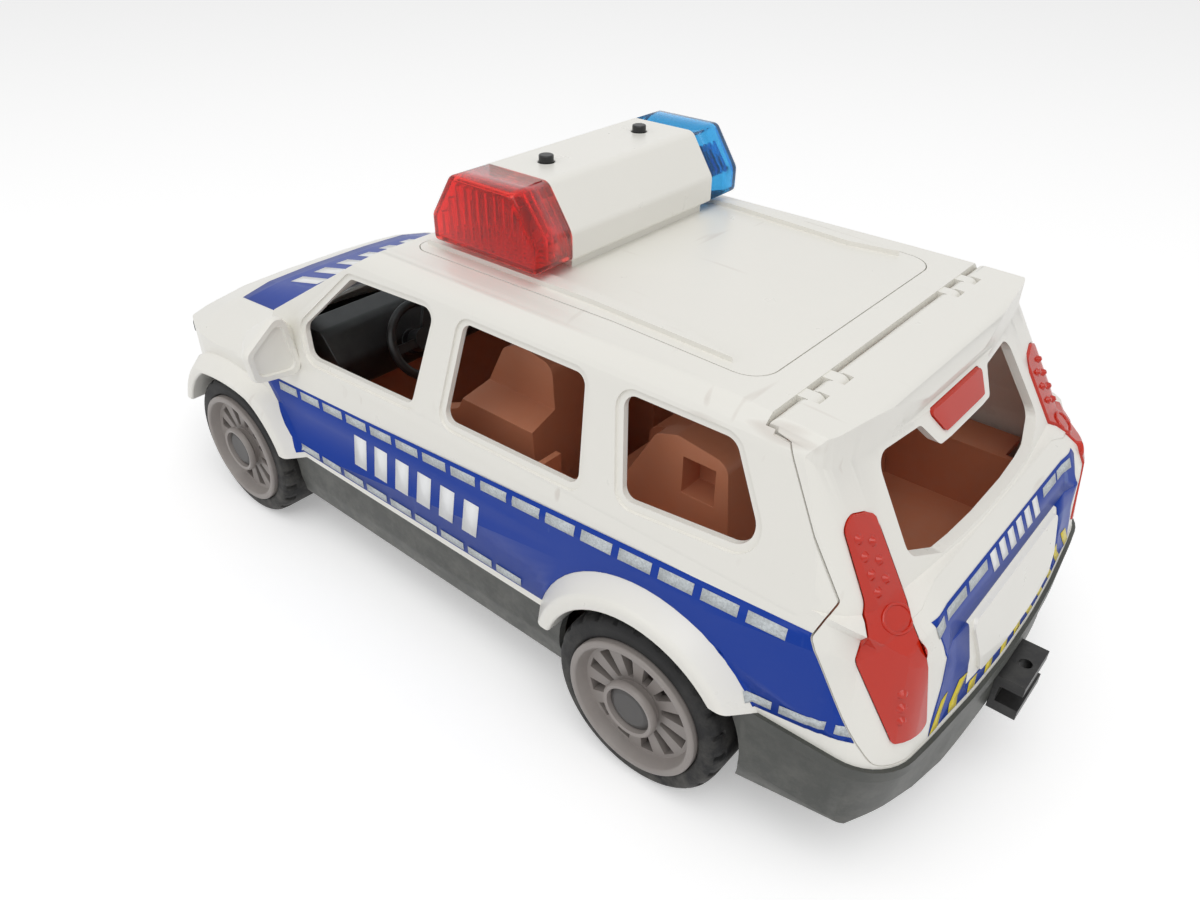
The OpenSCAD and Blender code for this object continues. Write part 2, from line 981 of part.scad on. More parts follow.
module battery_contacts() {
  color([0.75, 0.72, 0.6])
    both_sides()
      block(bar_x - 9, bar_x + 9, 22.25, 22.7, roof_z + 1.5, roof_z + 9);
}
module button_body(y) {
  translate([bar_x, y, 0]) {
    translate([0, 0, bar_top - bar_wall - 1.5])
      cylinder(r = button_r + 1.3, h = 1.3);
    translate([0, 0, bar_top - bar_wall - 1])
      cylinder(r = button_r, h = bar_wall + 2.8);
  }
}
module light_button() {
  color([0.07, 0.07, 0.08])
    button_body(button_y);
}
module sound_button() {
  color([0.07, 0.07, 0.08])
    button_body(-button_y);
}

module axle_rod() {
  color([0.62, 0.62, 0.64])
    bar_along_y(0, tyre_r, axle_r, 3.5 - rim_y, rim_y - 3.5);
}
module rim_body() {
  translate([0, rim_y - 17, tyre_r])
    rotate([-90, 0, 0])
      difference() {
        union() {
          rotate_extrude()
            polygon(outline([
              [rim_r - 2.2, 0, 0],
              [rim_r, 0, 0],
              [rim_r, 17, 0.8],
              [rim_r - 1.8, 17, 0.8],
              [rim_r - 3.4, 13, 1]
            ]));
          translate([0, 0, 11])
            cylinder(r = rim_r - 1.5, h = 2.6);
          cylinder(r = 5, h = 14);
          translate([0, 0, 11])
            cylinder(r = 6.6, h = 4);
        }
        for (k = [0 : spokes - 1])
          rotate([0, 0, (k + 0.5) * 360 / spokes])
            translate([0, 0, 8])
              linear_extrude(7)
                polygon([
                  [7.6, -7.6 * tan(70 / spokes)],
                  [rim_r - 4.2, (4.2 - rim_r) * tan(90 / spokes)],
                  [rim_r - 4.2, (rim_r - 4.2) * tan(90 / spokes)],
                  [7.6, 7.6 * tan(70 / spokes)]
                ]);
        translate([0, 0, -1])
          cylinder(r = axle_r + 0.02, h = 15);
      }
}
module tyre_body() {
  translate([0, tyre_y - tyre_w, tyre_r])
    rotate([-90, 0, 0])
      difference() {
        rotate_extrude()
          polygon(outline([
            [rim_r + 0.03, 0, 1],
            [tyre_r - 0.4, 0, 2.5],
            [tyre_r, 4, 3],
            [tyre_r, tyre_w - 4, 3],
            [tyre_r - 0.4, tyre_w, 2.5],
            [rim_r + 0.03, tyre_w, 1]
          ]));
        for (k = [0 : 23])
          rotate([0, 0, k * 15])
            for (z = [-1, tyre_w - 4])
              translate([tyre_r - 1.2, -0.7, z])
                cube([3, 1.4, 5]);
      }
}
module cap_body() {
  translate([0, rim_y - 2, tyre_r])
    rotate([-90, 0, 0])
      rotate_extrude()
        polygon(outline([
          [0, 0, 0],
          [6.4, 0, 0],
          [6.4, 1, 0.6],
          [4.6, 1.7, 0.8],
          [0, 1.7, 0]
        ]));
}
module front_axle() {
  translate([fx, 0, 0])
    axle_rod();
}
module front_rims() {
  color([0.47, 0.45, 0.43])
    translate([fx, 0, 0])
      both_sides()
        rim_body();
}
module front_tyres() {
  color([0.05, 0.05, 0.05])
    translate([fx, 0, 0])
      both_sides()
        tyre_body();
}
module front_hub_caps() {
  color([0.15, 0.15, 0.16])
    translate([fx, 0, 0])
      both_sides()
        cap_body();
}
module rear_axle() {
  axle_rod();
}
module rear_rims() {
  color([0.47, 0.45, 0.43])
    both_sides()
      rim_body();
}
module rear_tyres() {
  color([0.05, 0.05, 0.05])
    both_sides()
      tyre_body();
}
module rear_hub_caps() {
  color([0.15, 0.15, 0.16])
    both_sides()
      cap_body();
}

translate([rear_x, 0, 0]) {
  chassis();
  body_shell();
  cabin_tub();
  driver_seat();
  passenger_seat();
  rear_bench();
  dashboard();
  windscreen();
  headlight_left();
  headlight_right();
  grille();
  mirror_left();
  mirror_right();
  tow_hitch();
  chassis_screws();
  hinge_pins();
  steering_wheel();
  tailgate();
  tail_light_left();
  tail_light_right();
  brake_light();
  roof_panel();
  light_bar_housing();
  light_bar_frame();
  red_lens();
  blue_lens();
  circuit_board();
  red_led();
  blue_led();
  sounder();
  batteries();
  battery_contacts();
  battery_door();
  battery_door_screws();
  light_button();
  sound_button();
  front_axle();
  front_rims();
  front_tyres();
  front_hub_caps();
  rear_axle();
  rear_rims();
  rear_tyres();
  rear_hub_caps();
}
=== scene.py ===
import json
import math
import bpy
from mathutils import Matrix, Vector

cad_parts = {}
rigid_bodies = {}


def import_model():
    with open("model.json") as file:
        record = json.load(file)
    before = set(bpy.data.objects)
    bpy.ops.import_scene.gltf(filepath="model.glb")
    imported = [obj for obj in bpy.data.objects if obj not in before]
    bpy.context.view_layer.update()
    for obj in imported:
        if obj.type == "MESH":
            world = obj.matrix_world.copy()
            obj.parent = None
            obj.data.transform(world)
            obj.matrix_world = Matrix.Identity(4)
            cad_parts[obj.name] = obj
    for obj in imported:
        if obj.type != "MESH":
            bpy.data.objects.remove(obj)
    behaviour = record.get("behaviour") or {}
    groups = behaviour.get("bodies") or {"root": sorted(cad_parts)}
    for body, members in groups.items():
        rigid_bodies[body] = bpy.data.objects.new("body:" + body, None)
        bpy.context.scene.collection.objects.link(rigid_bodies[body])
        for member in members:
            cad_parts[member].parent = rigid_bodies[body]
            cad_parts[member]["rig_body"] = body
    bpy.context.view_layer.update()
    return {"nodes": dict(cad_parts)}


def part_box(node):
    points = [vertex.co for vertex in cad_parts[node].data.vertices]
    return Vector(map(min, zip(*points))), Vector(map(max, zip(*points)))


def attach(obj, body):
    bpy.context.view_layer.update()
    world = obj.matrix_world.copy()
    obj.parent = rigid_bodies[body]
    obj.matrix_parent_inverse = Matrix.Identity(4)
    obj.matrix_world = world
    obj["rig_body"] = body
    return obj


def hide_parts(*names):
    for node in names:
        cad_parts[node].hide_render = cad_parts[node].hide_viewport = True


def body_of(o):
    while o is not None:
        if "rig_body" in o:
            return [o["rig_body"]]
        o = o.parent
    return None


bl_info = {
    "name": "Toy Patrol Estate",
    "version": (1, 0, 0),
    "blender": (4, 5, 0),
    "location": "3D View > Sidebar > Patrol Estate",
    "description": "Dresses the packed toy estate car with finishes, printed livery and lamp optics",
    "category": "Object",
}

import bmesh
import bpy
from bpy.props import FloatProperty, FloatVectorProperty, IntProperty, PointerProperty
from mathutils import Matrix, Vector
from mathutils.bvhtree import BVHTree

for leftover in list(bpy.data.objects):
    bpy.data.objects.remove(leftover)

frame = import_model()
NODES = frame["nodes"]
AXLE_X = (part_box("rear_axle")[0][0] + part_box("rear_axle")[1][0]) / 2
MM = 0.001

# Cut skins and finishes, made once and used again
SKINS = {}
FINISHES = {}

# Places and sizes below are in millimetres, from the rear axle, the middle and the ground
WHEELBASE, AXLE_Z = 172, 25
WELD_REACH = 0.002
SLICE_REACH = 0.001

# The tail is drawn in between two heights, after its faces are cut within spans along the car
TAIL_Z = (43.5, 76.4)
TAIL_LEDGE = 1.0
TAIL_FRONT = -42
TAIL_FADE = (-43, -52)
TAIL_WIDE = (0, 60)
TAIL_SIDES = (34, 44)
TAIL_DRAW = (2.4, 10.0)
TAIL_POWER = (0.5, 0.9)
TAIL_LEAN = Vector((0.54, -0.63, -0.56)) * 0.85
TAIL_CUTS_X = (-42, -45, -48, -52)
TAIL_CUTS_Y = (34, 40, 44, 50, 55)
TAIL_CUTS_Z = (48, 56, 64, 70, 74)
TAIL_SPAN = (-math.inf, -40)
TAIL_SPAN_LONG = (-math.inf, -30)
TAIL_SPLIT = (-math.inf, -36)
LEDGE_REAR = -56.5
LEDGE_FRONT = (-52.0, -43.0)
PLATE_DROP = -3.4
PLATE_FOOT = (44, 51)
PLATE_HEAD = (76, 66.5)

# Upper outer corners of the tailgate, by its hinge
HINGE_X, HINGE_Z = -21.7, 107.1
GATE_CORNER_Y, GATE_CORNER_REACH, GATE_CORNER_KEEP = 50.4, 3.2, 0.2

# The bonnet falls off towards the wings
NOSE_FALL = 14.0
NOSE_WIDE = (0, 61.5)
NOSE_FADE = (146, 160)
NOSE_LOW = 50
BONNET_X, BONNET_Z, BONNET_SLOPE = 156, 75.8, 0.181
NOSE_CUTS_X = (146, 150, 155, 160, 170, 180, 190, 200)
NOSE_CUTS_Y = (12, 30, 45, 53, 58)
NOSE_SPAN = (140, math.inf)
NOSE_SPAN_LONG = (135, math.inf)
NOSE_SPLIT = (144, math.inf)

# The upper backs of the front seats step in, and the rear bumper rises and tucks in
SEAT_STEP = 9
SEAT_STEP_Z = (71, 74)
SEAT_STEP_Y = (22, 34)
BUMPER_LOW, BUMPER_LIFT, BUMPER_TUCK = 27, 4, 6
BUMPER_RISE = (-36, -64)
BUMPER_TUCK_X, BUMPER_TUCK_Y, BUMPER_TUCK_Z = (-46, -66), (36, 60), (42, 16)

# Section of the light bar, and the lenses with their ribs and flutes
BAR_X, BAR_Z, BAR_MIDDLE = 69, 114.8, 9.2
BAR_HALF, BAR_WAIST, BAR_TOP_HALF, BAR_TOP = 18.2, 7.2, 10.7, 18.3
BAR_OUTLINE = (
    (-BAR_HALF, 0), (BAR_HALF, 0), (BAR_HALF, BAR_WAIST),
    (BAR_TOP_HALF, BAR_TOP), (-BAR_TOP_HALF, BAR_TOP), (-BAR_HALF, BAR_WAIST),
)
LENS_FROM, LENS_TO, LENS_WALL, LENS_ROUND = 29.1, 42.0, 1.5, 1.5
RIB_COUNT, RIB_FIRST, RIB_PITCH = 4, 1.6, 2.0
RIB_PROFILE = ((0, 1.6), (0.9, 1.6), (0.6, 2.5), (0.3, 2.5))
FLUTE_COUNT, FLUTE_PITCH, FLUTE_RADIUS, FLUTE_GAP = 11, 2.9, 0.75, 0.8
FLUTE_TOP, FLUTE_FOOT, FLUTE_SHOULDER, FLUTE_FALL = 15.8, 2, 9, 1.4

# Balls that a door mirror is stretched over, each with its radius, and its flat back
MIRROR_BALLS = (
    (135, 64.4, 82.6, 3.2), (135, 72.5, 76.6, 3.2), (135, 71.8, 71, 3.2), (135, 62.2, 69.6, 3.2),
    (141, 65.6, 75.4, 6), (143, 58.2, 73, 5),
)
MIRROR_BACK = 133.4
MIRROR_FIELD = ((0.8, 0.0), (0.95, 0.9))

# Profile of a hub ring: radius and place across
HUB_RING = ((6.3, 65.4), (6.5, 67.0), (7.4, 67.2), (7.9, 66.6), (7.9, 65.4))
HUB_STEPS = 56

# Sides that are printed: the two flat axes, the way the side looks, and how far out its faces lie
PRINT_SIDES = {
    "left": ((0, 2), Vector((0, 1, 0)), 40),
    "right": ((0, 2), Vector((0, -1, 0)), 40),
    "tail": ((1, 2), Vector((-1, 0, 0)), 30),
    "top": ((0, 1), Vector((0, 0, 1)), 50),
}
PRINT_FACING = 0.12
PRINT_REACH = 0.0005

# Outlines of the blue prints; the wheel arch joins the ends of the flank band
BAND_UPPER = ((154, 60.1), (-39.6, 71.9), (-41, 68.4), (-47.7, 57.8), (-52.2, 48.1))
BAND_FRONT = ((140, 36.3), (141.7, 41.4))
ARCH_RADIUS, ARCH_START, ARCH_SWEEP, ARCH_STEPS = 35.6, 147, 127.5, 20
TAIL_BAND_SIDE = ((27, 63.6), (40, 63.6), (39.6, 57), (41.6, 51), (43.4, 44.2), (27, 44.2))
TAIL_BAND_TOP = ((41.4, 71.9), (39.8, 66), (40, 63.6), (-40, 63.6), (-39.8, 66), (-41.4, 71.9))
TAIL_BAND_BASE = ((27, 46.8), (27, 44.2), (-27, 44.2), (-27, 46.8))
BONNET_FIELD = ((162, 45), (196, 41), (196, -41), (162, -45))

# Rows of dashes, each along a line with a place, its height there and its slope
UPPER_DASHES = {"first": 144.8, "count": 16, "height": 2.8, "line": (100, 62.4, 0.0575)}
LOWER_DASHES = {"first": 139.0, "count": 9, "height": 2.4, "line": (90, 39.5, 0.004), "pitch": 11.1}
REAR_DASHES = (
    ((-27.2, 47.6), (-34, 48.6), (-34, 46.2), (-28.4, 45.3)),
    ((-35.8, 48.9), (-46, 50.8), (-46, 48.4), (-35.8, 46.5)),
    ((-48, 51.1), (-50.7, 51.6), (-51.8, 49.3), (-48, 48.7)),
)
TAIL_DASHES = ((41.2, 36.8), (35, 25.2), (23.6, 14), (-20.6, -29.2), (-30.2, -38.4))
TAIL_DASH_TOP, TAIL_DASH_FOOT = 70.9, 68.5

# Rows of slanted bars and warning stripes
FLANK_BARS = {"first": 57.5, "pitch": 9.4, "width": 5.6, "low": 44.6, "high": 56, "lean": -2.2}
TAIL_BARS = {"first": -17.6, "pitch": 5.1, "width": 3.1, "low": 66.2, "high": 71.1, "lean": 1.1}
BONNET_BARS = {"first": -27, "pitch": 9.6, "width": 5, "low": 172, "high": 186, "lean": 1.4}
STRIPES = {"pitch": -8.2, "width": -3.4, "low": 44.4}
TALL_STRIPES = {"first": 43.2, "high": 50.6, "lean": -4.65, "count": 2}
SHORT_STRIPES = {"first": 26.8, "high": 46.6, "lean": -1.65, "count": 4}

# Cones and oval rings of the left tail lamp: each row of cones from its top to its foot
CONE_ROWS = (
    ((-41, 48.5, 89.5), (-47.5, 49, 80), 4),
    ((-43, 45, 88), (-47, 45.5, 81), 3),
    ((-57, 52, 61), (-58.5, 52.5, 54.5), 3),
    ((-58.5, 47.5, 58.5), (-59.5, 48, 52), 3),
)
CONE_TIP, CONE_DEPTH, CONE_LIFT = 0.3, 1.3, 0.2
LAMP_RINGS = (((-51.3, 47.8, 74.6), 3.5, 2.9), ((-54.6, 50.6, 68.6), 5.0, 3.9))
LAMP_RING_WIRE, LAMP_RING_STEPS, LAMP_RING_REACH = 0.42, 40, 8

# The camera of the photograph, and the studio in metres
CAMERA_RIGHT = Vector((-0.75730, -0.65305, 0.00561))
CAMERA_UP = Vector((0.36863, -0.42035, 0.82911))
CAMERA_PLACE = (-93.26, 186.71, 203.55)
CAMERA_LENS, CAMERA_SENSOR = 27.91, 36
FLOOR_RADIUS, FLOOR_TONE, FLOOR_GLOW, ROOM_LIGHT = 6, 0.93, 0.3, 0.55
SOFTBOX_AIM = Vector((0, 0, 0.06))
SOFTBOXES = (
    ("softbox_above", (-0.35, 0.35, 1.1), 5.0, 0.9),
    ("softbox_side", (0.25, 1.1, 0.7), 1.2, 0.7),
)
WHITE = (1, 1, 1, 1)


def linear(red, green, blue):
    """Turns a display colour of 0 to 255 into the linear colour that a shader takes."""
    out = []
    for level in (red, green, blue):
        share = level / 255
        out.append(share / 12.92 if share <= 0.04045 else ((share + 0.055) / 1.055) ** 2.4)
    return tuple(out)


def at(x, y, z):
    """A point in metres, given in millimetres from the rear axle, the middle and the ground."""
    return Vector((AXLE_X + x * MM, y * MM, z * MM))


def station(point):
    """A point in metres as millimetres from the rear axle, the middle and the ground."""
    return (point - at(0, 0, 0)) / MM


def ramp(value, start, end):
    """How far a value has come from a start to an end, held between 0 and 1."""
    return min(max((value - start) / (end - start), 0.0), 1.0)


def between(first, last, share):
    """The value at a share of the way from the first to the last."""
    return first + (last - first) * share


def both_sides(places):
    """Each place across, on the left and on the right."""
    return [sign * place for place in places for sign in (1, -1)]


def colour_prop(title, words, *levels):
    """A colour of the sidebar, with its default as display levels."""
    return FloatVectorProperty(
        name=title, description=words, default=linear(*levels), subtype="COLOR", size=3, min=0, max=1
    )


def length_prop(title, words, default):
    """A length of the sidebar, in metres."""
    return FloatProperty(name=title, description=words, default=default, unit="LENGTH")


class PatrolColours(bpy.types.PropertyGroup):
    """Colours of the mouldings and prints."""

    shell: colour_prop("Shell", "Cream white of the body, tailgate and roof", 238, 236, 229)
    skirt: colour_prop("Skirt", "Charcoal of the floor pan and bumpers", 60, 62, 58)
    cabin: colour_prop("Cabin", "Brown of the seats and the tub", 206, 134, 100)
    trim: colour_prop("Trim", "Black of the dashboard, wheel and hitch", 24, 24, 25)
    rubber: colour_prop("Rubber", "Black of the tyres", 27, 27, 28)
    rim: colour_prop("Rim", "Warm grey of the wheel rims", 146, 139, 135)
    band: colour_prop("Band", "Blue of the printed band", 2, 56, 156)
    dash: colour_prop("Dash", "Silver grey of the printed dashes", 196, 202, 205)
    mark: colour_prop("Mark", "White of the slanted bars", 240, 241, 242)
    warning: colour_prop("Warning", "Yellow of the warning stripes", 222, 201, 48)
    lamp: colour_prop("Lamp", "Red of the tail lamps", 222, 46, 18)
    red_lens: colour_prop("Red lens", "Red of the left lens of the light bar", 255, 62, 50)
    blue_lens: colour_prop("Blue lens", "Blue of the right lens of the light bar", 60, 178, 240)


class PatrolSizes(bpy.types.PropertyGroup):
    """Sizes of the printed livery and the lamp optics."""

    lift: length_prop("Print lift", "Gap of a print over the moulding", 0.00004)
    film: length_prop("Print film", "Thickness of a printed film", 0.00006)
    dash_length: length_prop("Dash length", "Length of one dash of the band", 0.00925)
    dash_pitch: length_prop("Dash pitch", "Distance from dash to dash", 0.01135)
    bar_count: IntProperty(name="Bars", description="Slanted bars in a row", default=6, min=1, max=12)
    edge_round: length_prop("Edge round", "Radius of the moulded edges", 0.00028)
    cone_radius: length_prop("Cone radius", "Radius of a tail lamp cone", 0.0015)


def colours():
    return bpy.context.scene.patrol_colours


def sizes():
    return bpy.context.scene.patrol_sizes


def add_node(tree, kind, links=(), **values):
    """Adds a shader node, sets its properties and links its inputs."""
    node = tree.nodes.new(kind)
    for key, value in values.items():
        setattr(node, key, value)
    for socket, source in links:
        if hasattr(source, "is_output"):
            tree.links.new(source, node.inputs[socket])
        else:
            node.inputs[socket].default_value = source
    return node


def new_group(name, inputs, outputs):
    """Starts a shader node group with named sockets and returns it with its two ends."""
    tree = bpy.data.node_groups.new(name, "ShaderNodeTree")
    for title, value in inputs.items():
        kind = "NodeSocketFloat" if isinstance(value, float) else "NodeSocketColor"
        socket = tree.interface.new_socket(name=title, in_out="INPUT", socket_type=kind)
        socket.default_value = value
    for title in outputs:
        kind = "NodeSocketColor" if title == "Color" else "NodeSocketFloat"
        tree.interface.new_socket(name=title, in_out="OUTPUT", socket_type=kind)
    return tree, tree.nodes.new("NodeGroupInput"), tree.nodes.new("NodeGroupOutput")


def math_node(tree, what, first, second, third=0.0):
    links = [(0, first), (1, second), (2, third)]
    return add_node(tree, "ShaderNodeMath", links, operation=what).outputs[0]


def object_place(tree):
    return add_node(tree, "ShaderNodeTexCoord").outputs["Object"]


def noise(tree, place, scale, detail, roughness=0.5):
    """Cloudy noise from 0 to 1."""
    links = [("Vector", place), ("Scale", scale), ("Detail", detail), ("Roughness", roughness)]
    return add_node(tree, "ShaderNodeTexNoise", links).outputs["Fac"]


def remap(tree, value, start, end):
    """How far a value has come from a start to an end, from 0 to 1."""
    links = [("Value", value), ("From Min", start), ("From Max", end)]
    return add_node(tree, "ShaderNodeMapRange", links).outputs[0]


def toned(tree, colour, level):
    """A colour made lighter or darker by a level."""
    links = [(0, colour), (3, level)]
    return add_node(tree, "ShaderNodeVectorMath", links, operation="SCALE").outputs[0]


def blend(tree, mask, first, second):
    """Two colours mixed by a mask."""
    links = [(0, mask), (6, first), (7, second)]
    return add_node(tree, "ShaderNodeMix", links, data_type="RGBA").outputs[2]


def moulding_grain():
    """Cloudy tone, uneven polish and fine texture of moulded plastic or rubber."""
    if "Moulding grain" in bpy.data.node_groups:
        return bpy.data.node_groups["Moulding grain"]
    inputs = {"Color": (0.8, 0.8, 0.8, 1), "Shade": 0.06, "Polish": 0.3, "Spread": 0.12, "Grain": 2400.0}
    tree, start, end = new_group("Moulding grain", inputs, ("Color", "Roughness", "Height"))
    place = object_place(tree)
    cloud = noise(tree, place, scale=26.0, detail=3.0)
    smear = noise(tree, place, scale=95.0, detail=4.0, roughness=0.6)
    fine = noise(tree, place, scale=start.outputs["Grain"], detail=2.0)
    tone = math_node(tree, "MULTIPLY", math_node(tree, "SUBTRACT", cloud, 0.38), start.outputs["Shade"])
    shaded = toned(tree, start.outputs["Color"], math_node(tree, "SUBTRACT", 1.0, tone))
    patch = math_node(tree, "SUBTRACT", smear, 0.5)
    gloss = math_node(tree, "MULTIPLY_ADD", patch, start.outputs["Spread"], start.outputs["Polish"])
    tree.links.new(shaded, end.inputs["Color"])
    tree.links.new(gloss, end.inputs["Roughness"])
    tree.links.new(math_node(tree, "MULTIPLY_ADD", cloud, 0.6, fine), end.inputs["Height"])
    return tree


def play_scuffs():
    """Fine stray scratches and rubbed patches that play leaves on a moulding."""
    if "Play scuffs" in bpy.data.node_groups:
        return bpy.data.node_groups["Play scuffs"]
    inputs = {"Color": (0.8, 0.8, 0.8, 1), "Mark": (0.4, 0.4, 0.4, 1), "Roughness": 0.3, "Amount": 0.3}
    tree, start, end = new_group("Play scuffs", inputs, ("Color", "Roughness"))
    place = object_place(tree)
    masks = []
    for turn, stretch in (((0.2, 0.5, 0.6), (260, 34, 90)), ((0.9, -0.3, 1.9), (34, 300, 120))):
        links = [("Vector", place), ("Rotation", turn), ("Scale", stretch)]
        lay = add_node(tree, "ShaderNodeMapping", links).outputs[0]
        masks.append(remap(tree, noise(tree, lay, scale=1.0, detail=1.0), start=0.705, end=0.76))
    patch = remap(tree, noise(tree, place, scale=31.0, detail=2.0), start=0.48, end=0.66)
    both = math_node(tree, "MULTIPLY", math_node(tree, "MAXIMUM", *masks), patch)
    mask = math_node(tree, "MULTIPLY", both, start.outputs["Amount"])
    gloss = math_node(tree, "MULTIPLY_ADD", mask, 0.3, start.outputs["Roughness"])
    tree.links.new(blend(tree, mask, start.outputs["Color"], start.outputs["Mark"]), end.inputs["Color"])
    tree.links.new(gloss, end.inputs["Roughness"])
    return tree


def settled_dust():
    """Pale dust that gathers towards the ground and in uneven patches."""
    if "Settled dust" in bpy.data.node_groups:
        return bpy.data.node_groups["Settled dust"]
    inputs = {"Color": (0.1, 0.1, 0.1, 1), "Dust": (0.42, 0.40, 0.36, 1), "Amount": 0.2, "Top": 0.06}
    tree, start, end = new_group("Settled dust", inputs, ("Color",))
    place = object_place(tree)
    height = add_node(tree, "ShaderNodeSeparateXYZ", [(0, place)]).outputs[2]
    low = remap(tree, height, start=start.outputs["Top"], end=0.0)
    patch = remap(tree, noise(tree, place, scale=140.0, detail=6.0, roughness=0.7), start=0.42, end=0.75)
    mask = math_node(tree, "MULTIPLY", math_node(tree, "MULTIPLY", low, patch), start.outputs["Amount"])
    tree.links.new(blend(tree, mask, start.outputs["Color"], start.outputs["Dust"]), end.inputs["Color"])
    return tree


def place_group(tree, group, **values):
    """Places a shared group in a material, with its own values or links."""
    return add_node(tree, "ShaderNodeGroup", values.items(), node_tree=group)


def finish(
    name, colour, polish=0.3, spread=0.12, shade=0.07, grain=2400.0, bump=0.03, scuff=0.0,
    scuff_colour=(0.25, 0.24, 0.22), dust=0.0, dust_top=0.06, sparkle=0.0, **sockets,
):
    """Builds a finish from the shared groups, with plain values on the shader itself."""
    if name in FINISHES:
        return FINISHES[name]
    material = bpy.data.materials.new(name)
    material.use_nodes = True
    tree = material.node_tree
    shader = tree.nodes["Principled BSDF"]
    grain_node = place_group(
        tree, moulding_grain(), Color=(*colour, 1), Shade=shade, Polish=polish, Spread=spread, Grain=grain
    )
    tone = grain_node.outputs["Color"]
    gloss = grain_node.outputs["Roughness"]
    if sparkle:
        flake = add_node(tree, "ShaderNodeTexVoronoi", [("Vector", object_place(tree)), ("Scale", 2600.0)])
        chance = add_node(tree, "ShaderNodeSeparateColor", [(0, flake.outputs["Color"])]).outputs[0]
        links = [("Value", chance), ("To Min", 1.0 - sparkle), ("To Max", 1.0 + 0.4 * sparkle)]
        tone = toned(tree, tone, add_node(tree, "ShaderNodeMapRange", links).outputs[0])
    if scuff:
        scuff_node = place_group(
            tree, play_scuffs(), Color=tone, Mark=(*scuff_colour, 1), Roughness=gloss, Amount=scuff
        )
        tone = scuff_node.outputs["Color"]
        gloss = scuff_node.outputs["Roughness"]
    if dust:
        tone = place_group(tree, settled_dust(), Color=tone, Amount=dust, Top=dust_top).outputs["Color"]
    tree.links.new(tone, shader.inputs["Base Color"])
    tree.links.new(gloss, shader.inputs["Roughness"])
    links = [("Height", grain_node.outputs["Height"]), ("Strength", bump), ("Distance", 0.0002)]
    tree.links.new(add_node(tree, "ShaderNodeBump", links).outputs["Normal"], shader.inputs["Normal"])
    for title, value in sockets.items():
        shader.inputs[title.replace("_", " ")].default_value = value
    FINISHES[name] = material
    return material


def shell_finish():
    return finish(
        "cream_shell", colours().shell, polish=0.3, spread=0.14, shade=0.05, bump=0.02, scuff=0.22,
        scuff_colour=linear(150, 120, 105),
    )


def skirt_finish():
    return finish(
        "charcoal_skirt", colours().skirt, polish=0.46, spread=0.2, shade=0.2, bump=0.08, scuff=0.4,
        scuff_colour=linear(120, 120, 115), dust=0.35, dust_top=0.05,
    )


def cabin_finish():
    return finish("brown_cabin", colours().cabin, polish=0.5, shade=0.16, bump=0.06, dust=0.2, dust_top=0.12)


def trim_finish():
    return finish("black_trim", colours().trim, polish=0.42, shade=0.2, bump=0.08, dust=0.12, dust_top=0.1)


def rubber_finish():
    return finish(
        "tyre_rubber", colours().rubber, polish=0.62, spread=0.25, shade=0.3, grain=1500.0, bump=0.16,
        scuff=0.3, scuff_colour=linear(90, 88, 84), dust=0.3, dust_top=0.05, Specular_IOR_Level=0.3,
    )


def rim_finish():
    return finish(
        "warm_grey_rim", colours().rim, polish=0.44, shade=0.1, bump=0.04, dust=0.25, dust_top=0.05
    )


def hub_finish():
    return finish("dark_hub", linear(72, 70, 69), polish=0.45, shade=0.12, bump=0.05)


def lamp_finish():
    return finish(
        "red_lamp", colours().lamp, polish=0.14, spread=0.08, shade=0.12, bump=0.02,
        Transmission_Weight=0.3, IOR=1.49,
    )


def lens_finish(name, colour):
    return finish(
        name, colour, polish=0.06, spread=0.05, shade=0.08, bump=0.02, Transmission_Weight=0.9, IOR=1.4,
    )


def clear_finish():
    return finish(
        "clear_glazing", linear(214, 219, 221), polish=0.05, spread=0.04, shade=0.03, bump=0.01, scuff=0.15,
        scuff_colour=linear(235, 235, 235), Transmission_Weight=0.95, IOR=1.45,
    )


def steel_finish():
    return finish(
        "bright_steel", linear(190, 190, 188), polish=0.3, spread=0.2, shade=0.15, bump=0.05, Metallic=1.0
    )


def blue_finish():
    return finish(
        "blue_print", colours().band, polish=0.34, spread=0.2, shade=0.14, bump=0.02, scuff=0.3,
        scuff_colour=linear(150, 170, 205), Specular_IOR_Level=0.22,
    )


def silver_finish():
    return finish("silver_print", colours().dash, polish=0.35, shade=0.08, sparkle=0.22)


def white_finish():
    return finish("white_print", colours().mark, polish=0.32, shade=0.05)


def faces_within(mesh, span):
    """The faces with their middle in a span along the car."""
    rear, front = (AXLE_X + end * MM for end in span)
    return [f for f in mesh.faces if rear < f.calc_center_median().x < front]


def slice_faces(mesh, axis, places, span=(-math.inf, math.inf)):
    """Cuts the faces within a span along the car at flat places of an axis."""
    normal = Vector((0, 0, 0))
    normal[axis] = 1
    for place in places:
        spot = [0, 0, 0]
        spot[axis] = place
        faces = faces_within(mesh, span)
        edges = list(dict.fromkeys(e for f in faces for e in f.edges))
        verts = list(dict.fromkeys(v for f in faces for v in f.verts))
        bmesh.ops.bisect_plane(
            mesh, geom=verts + edges + faces, plane_co=at(*spot), plane_no=normal, dist=SLICE_REACH * MM
        )


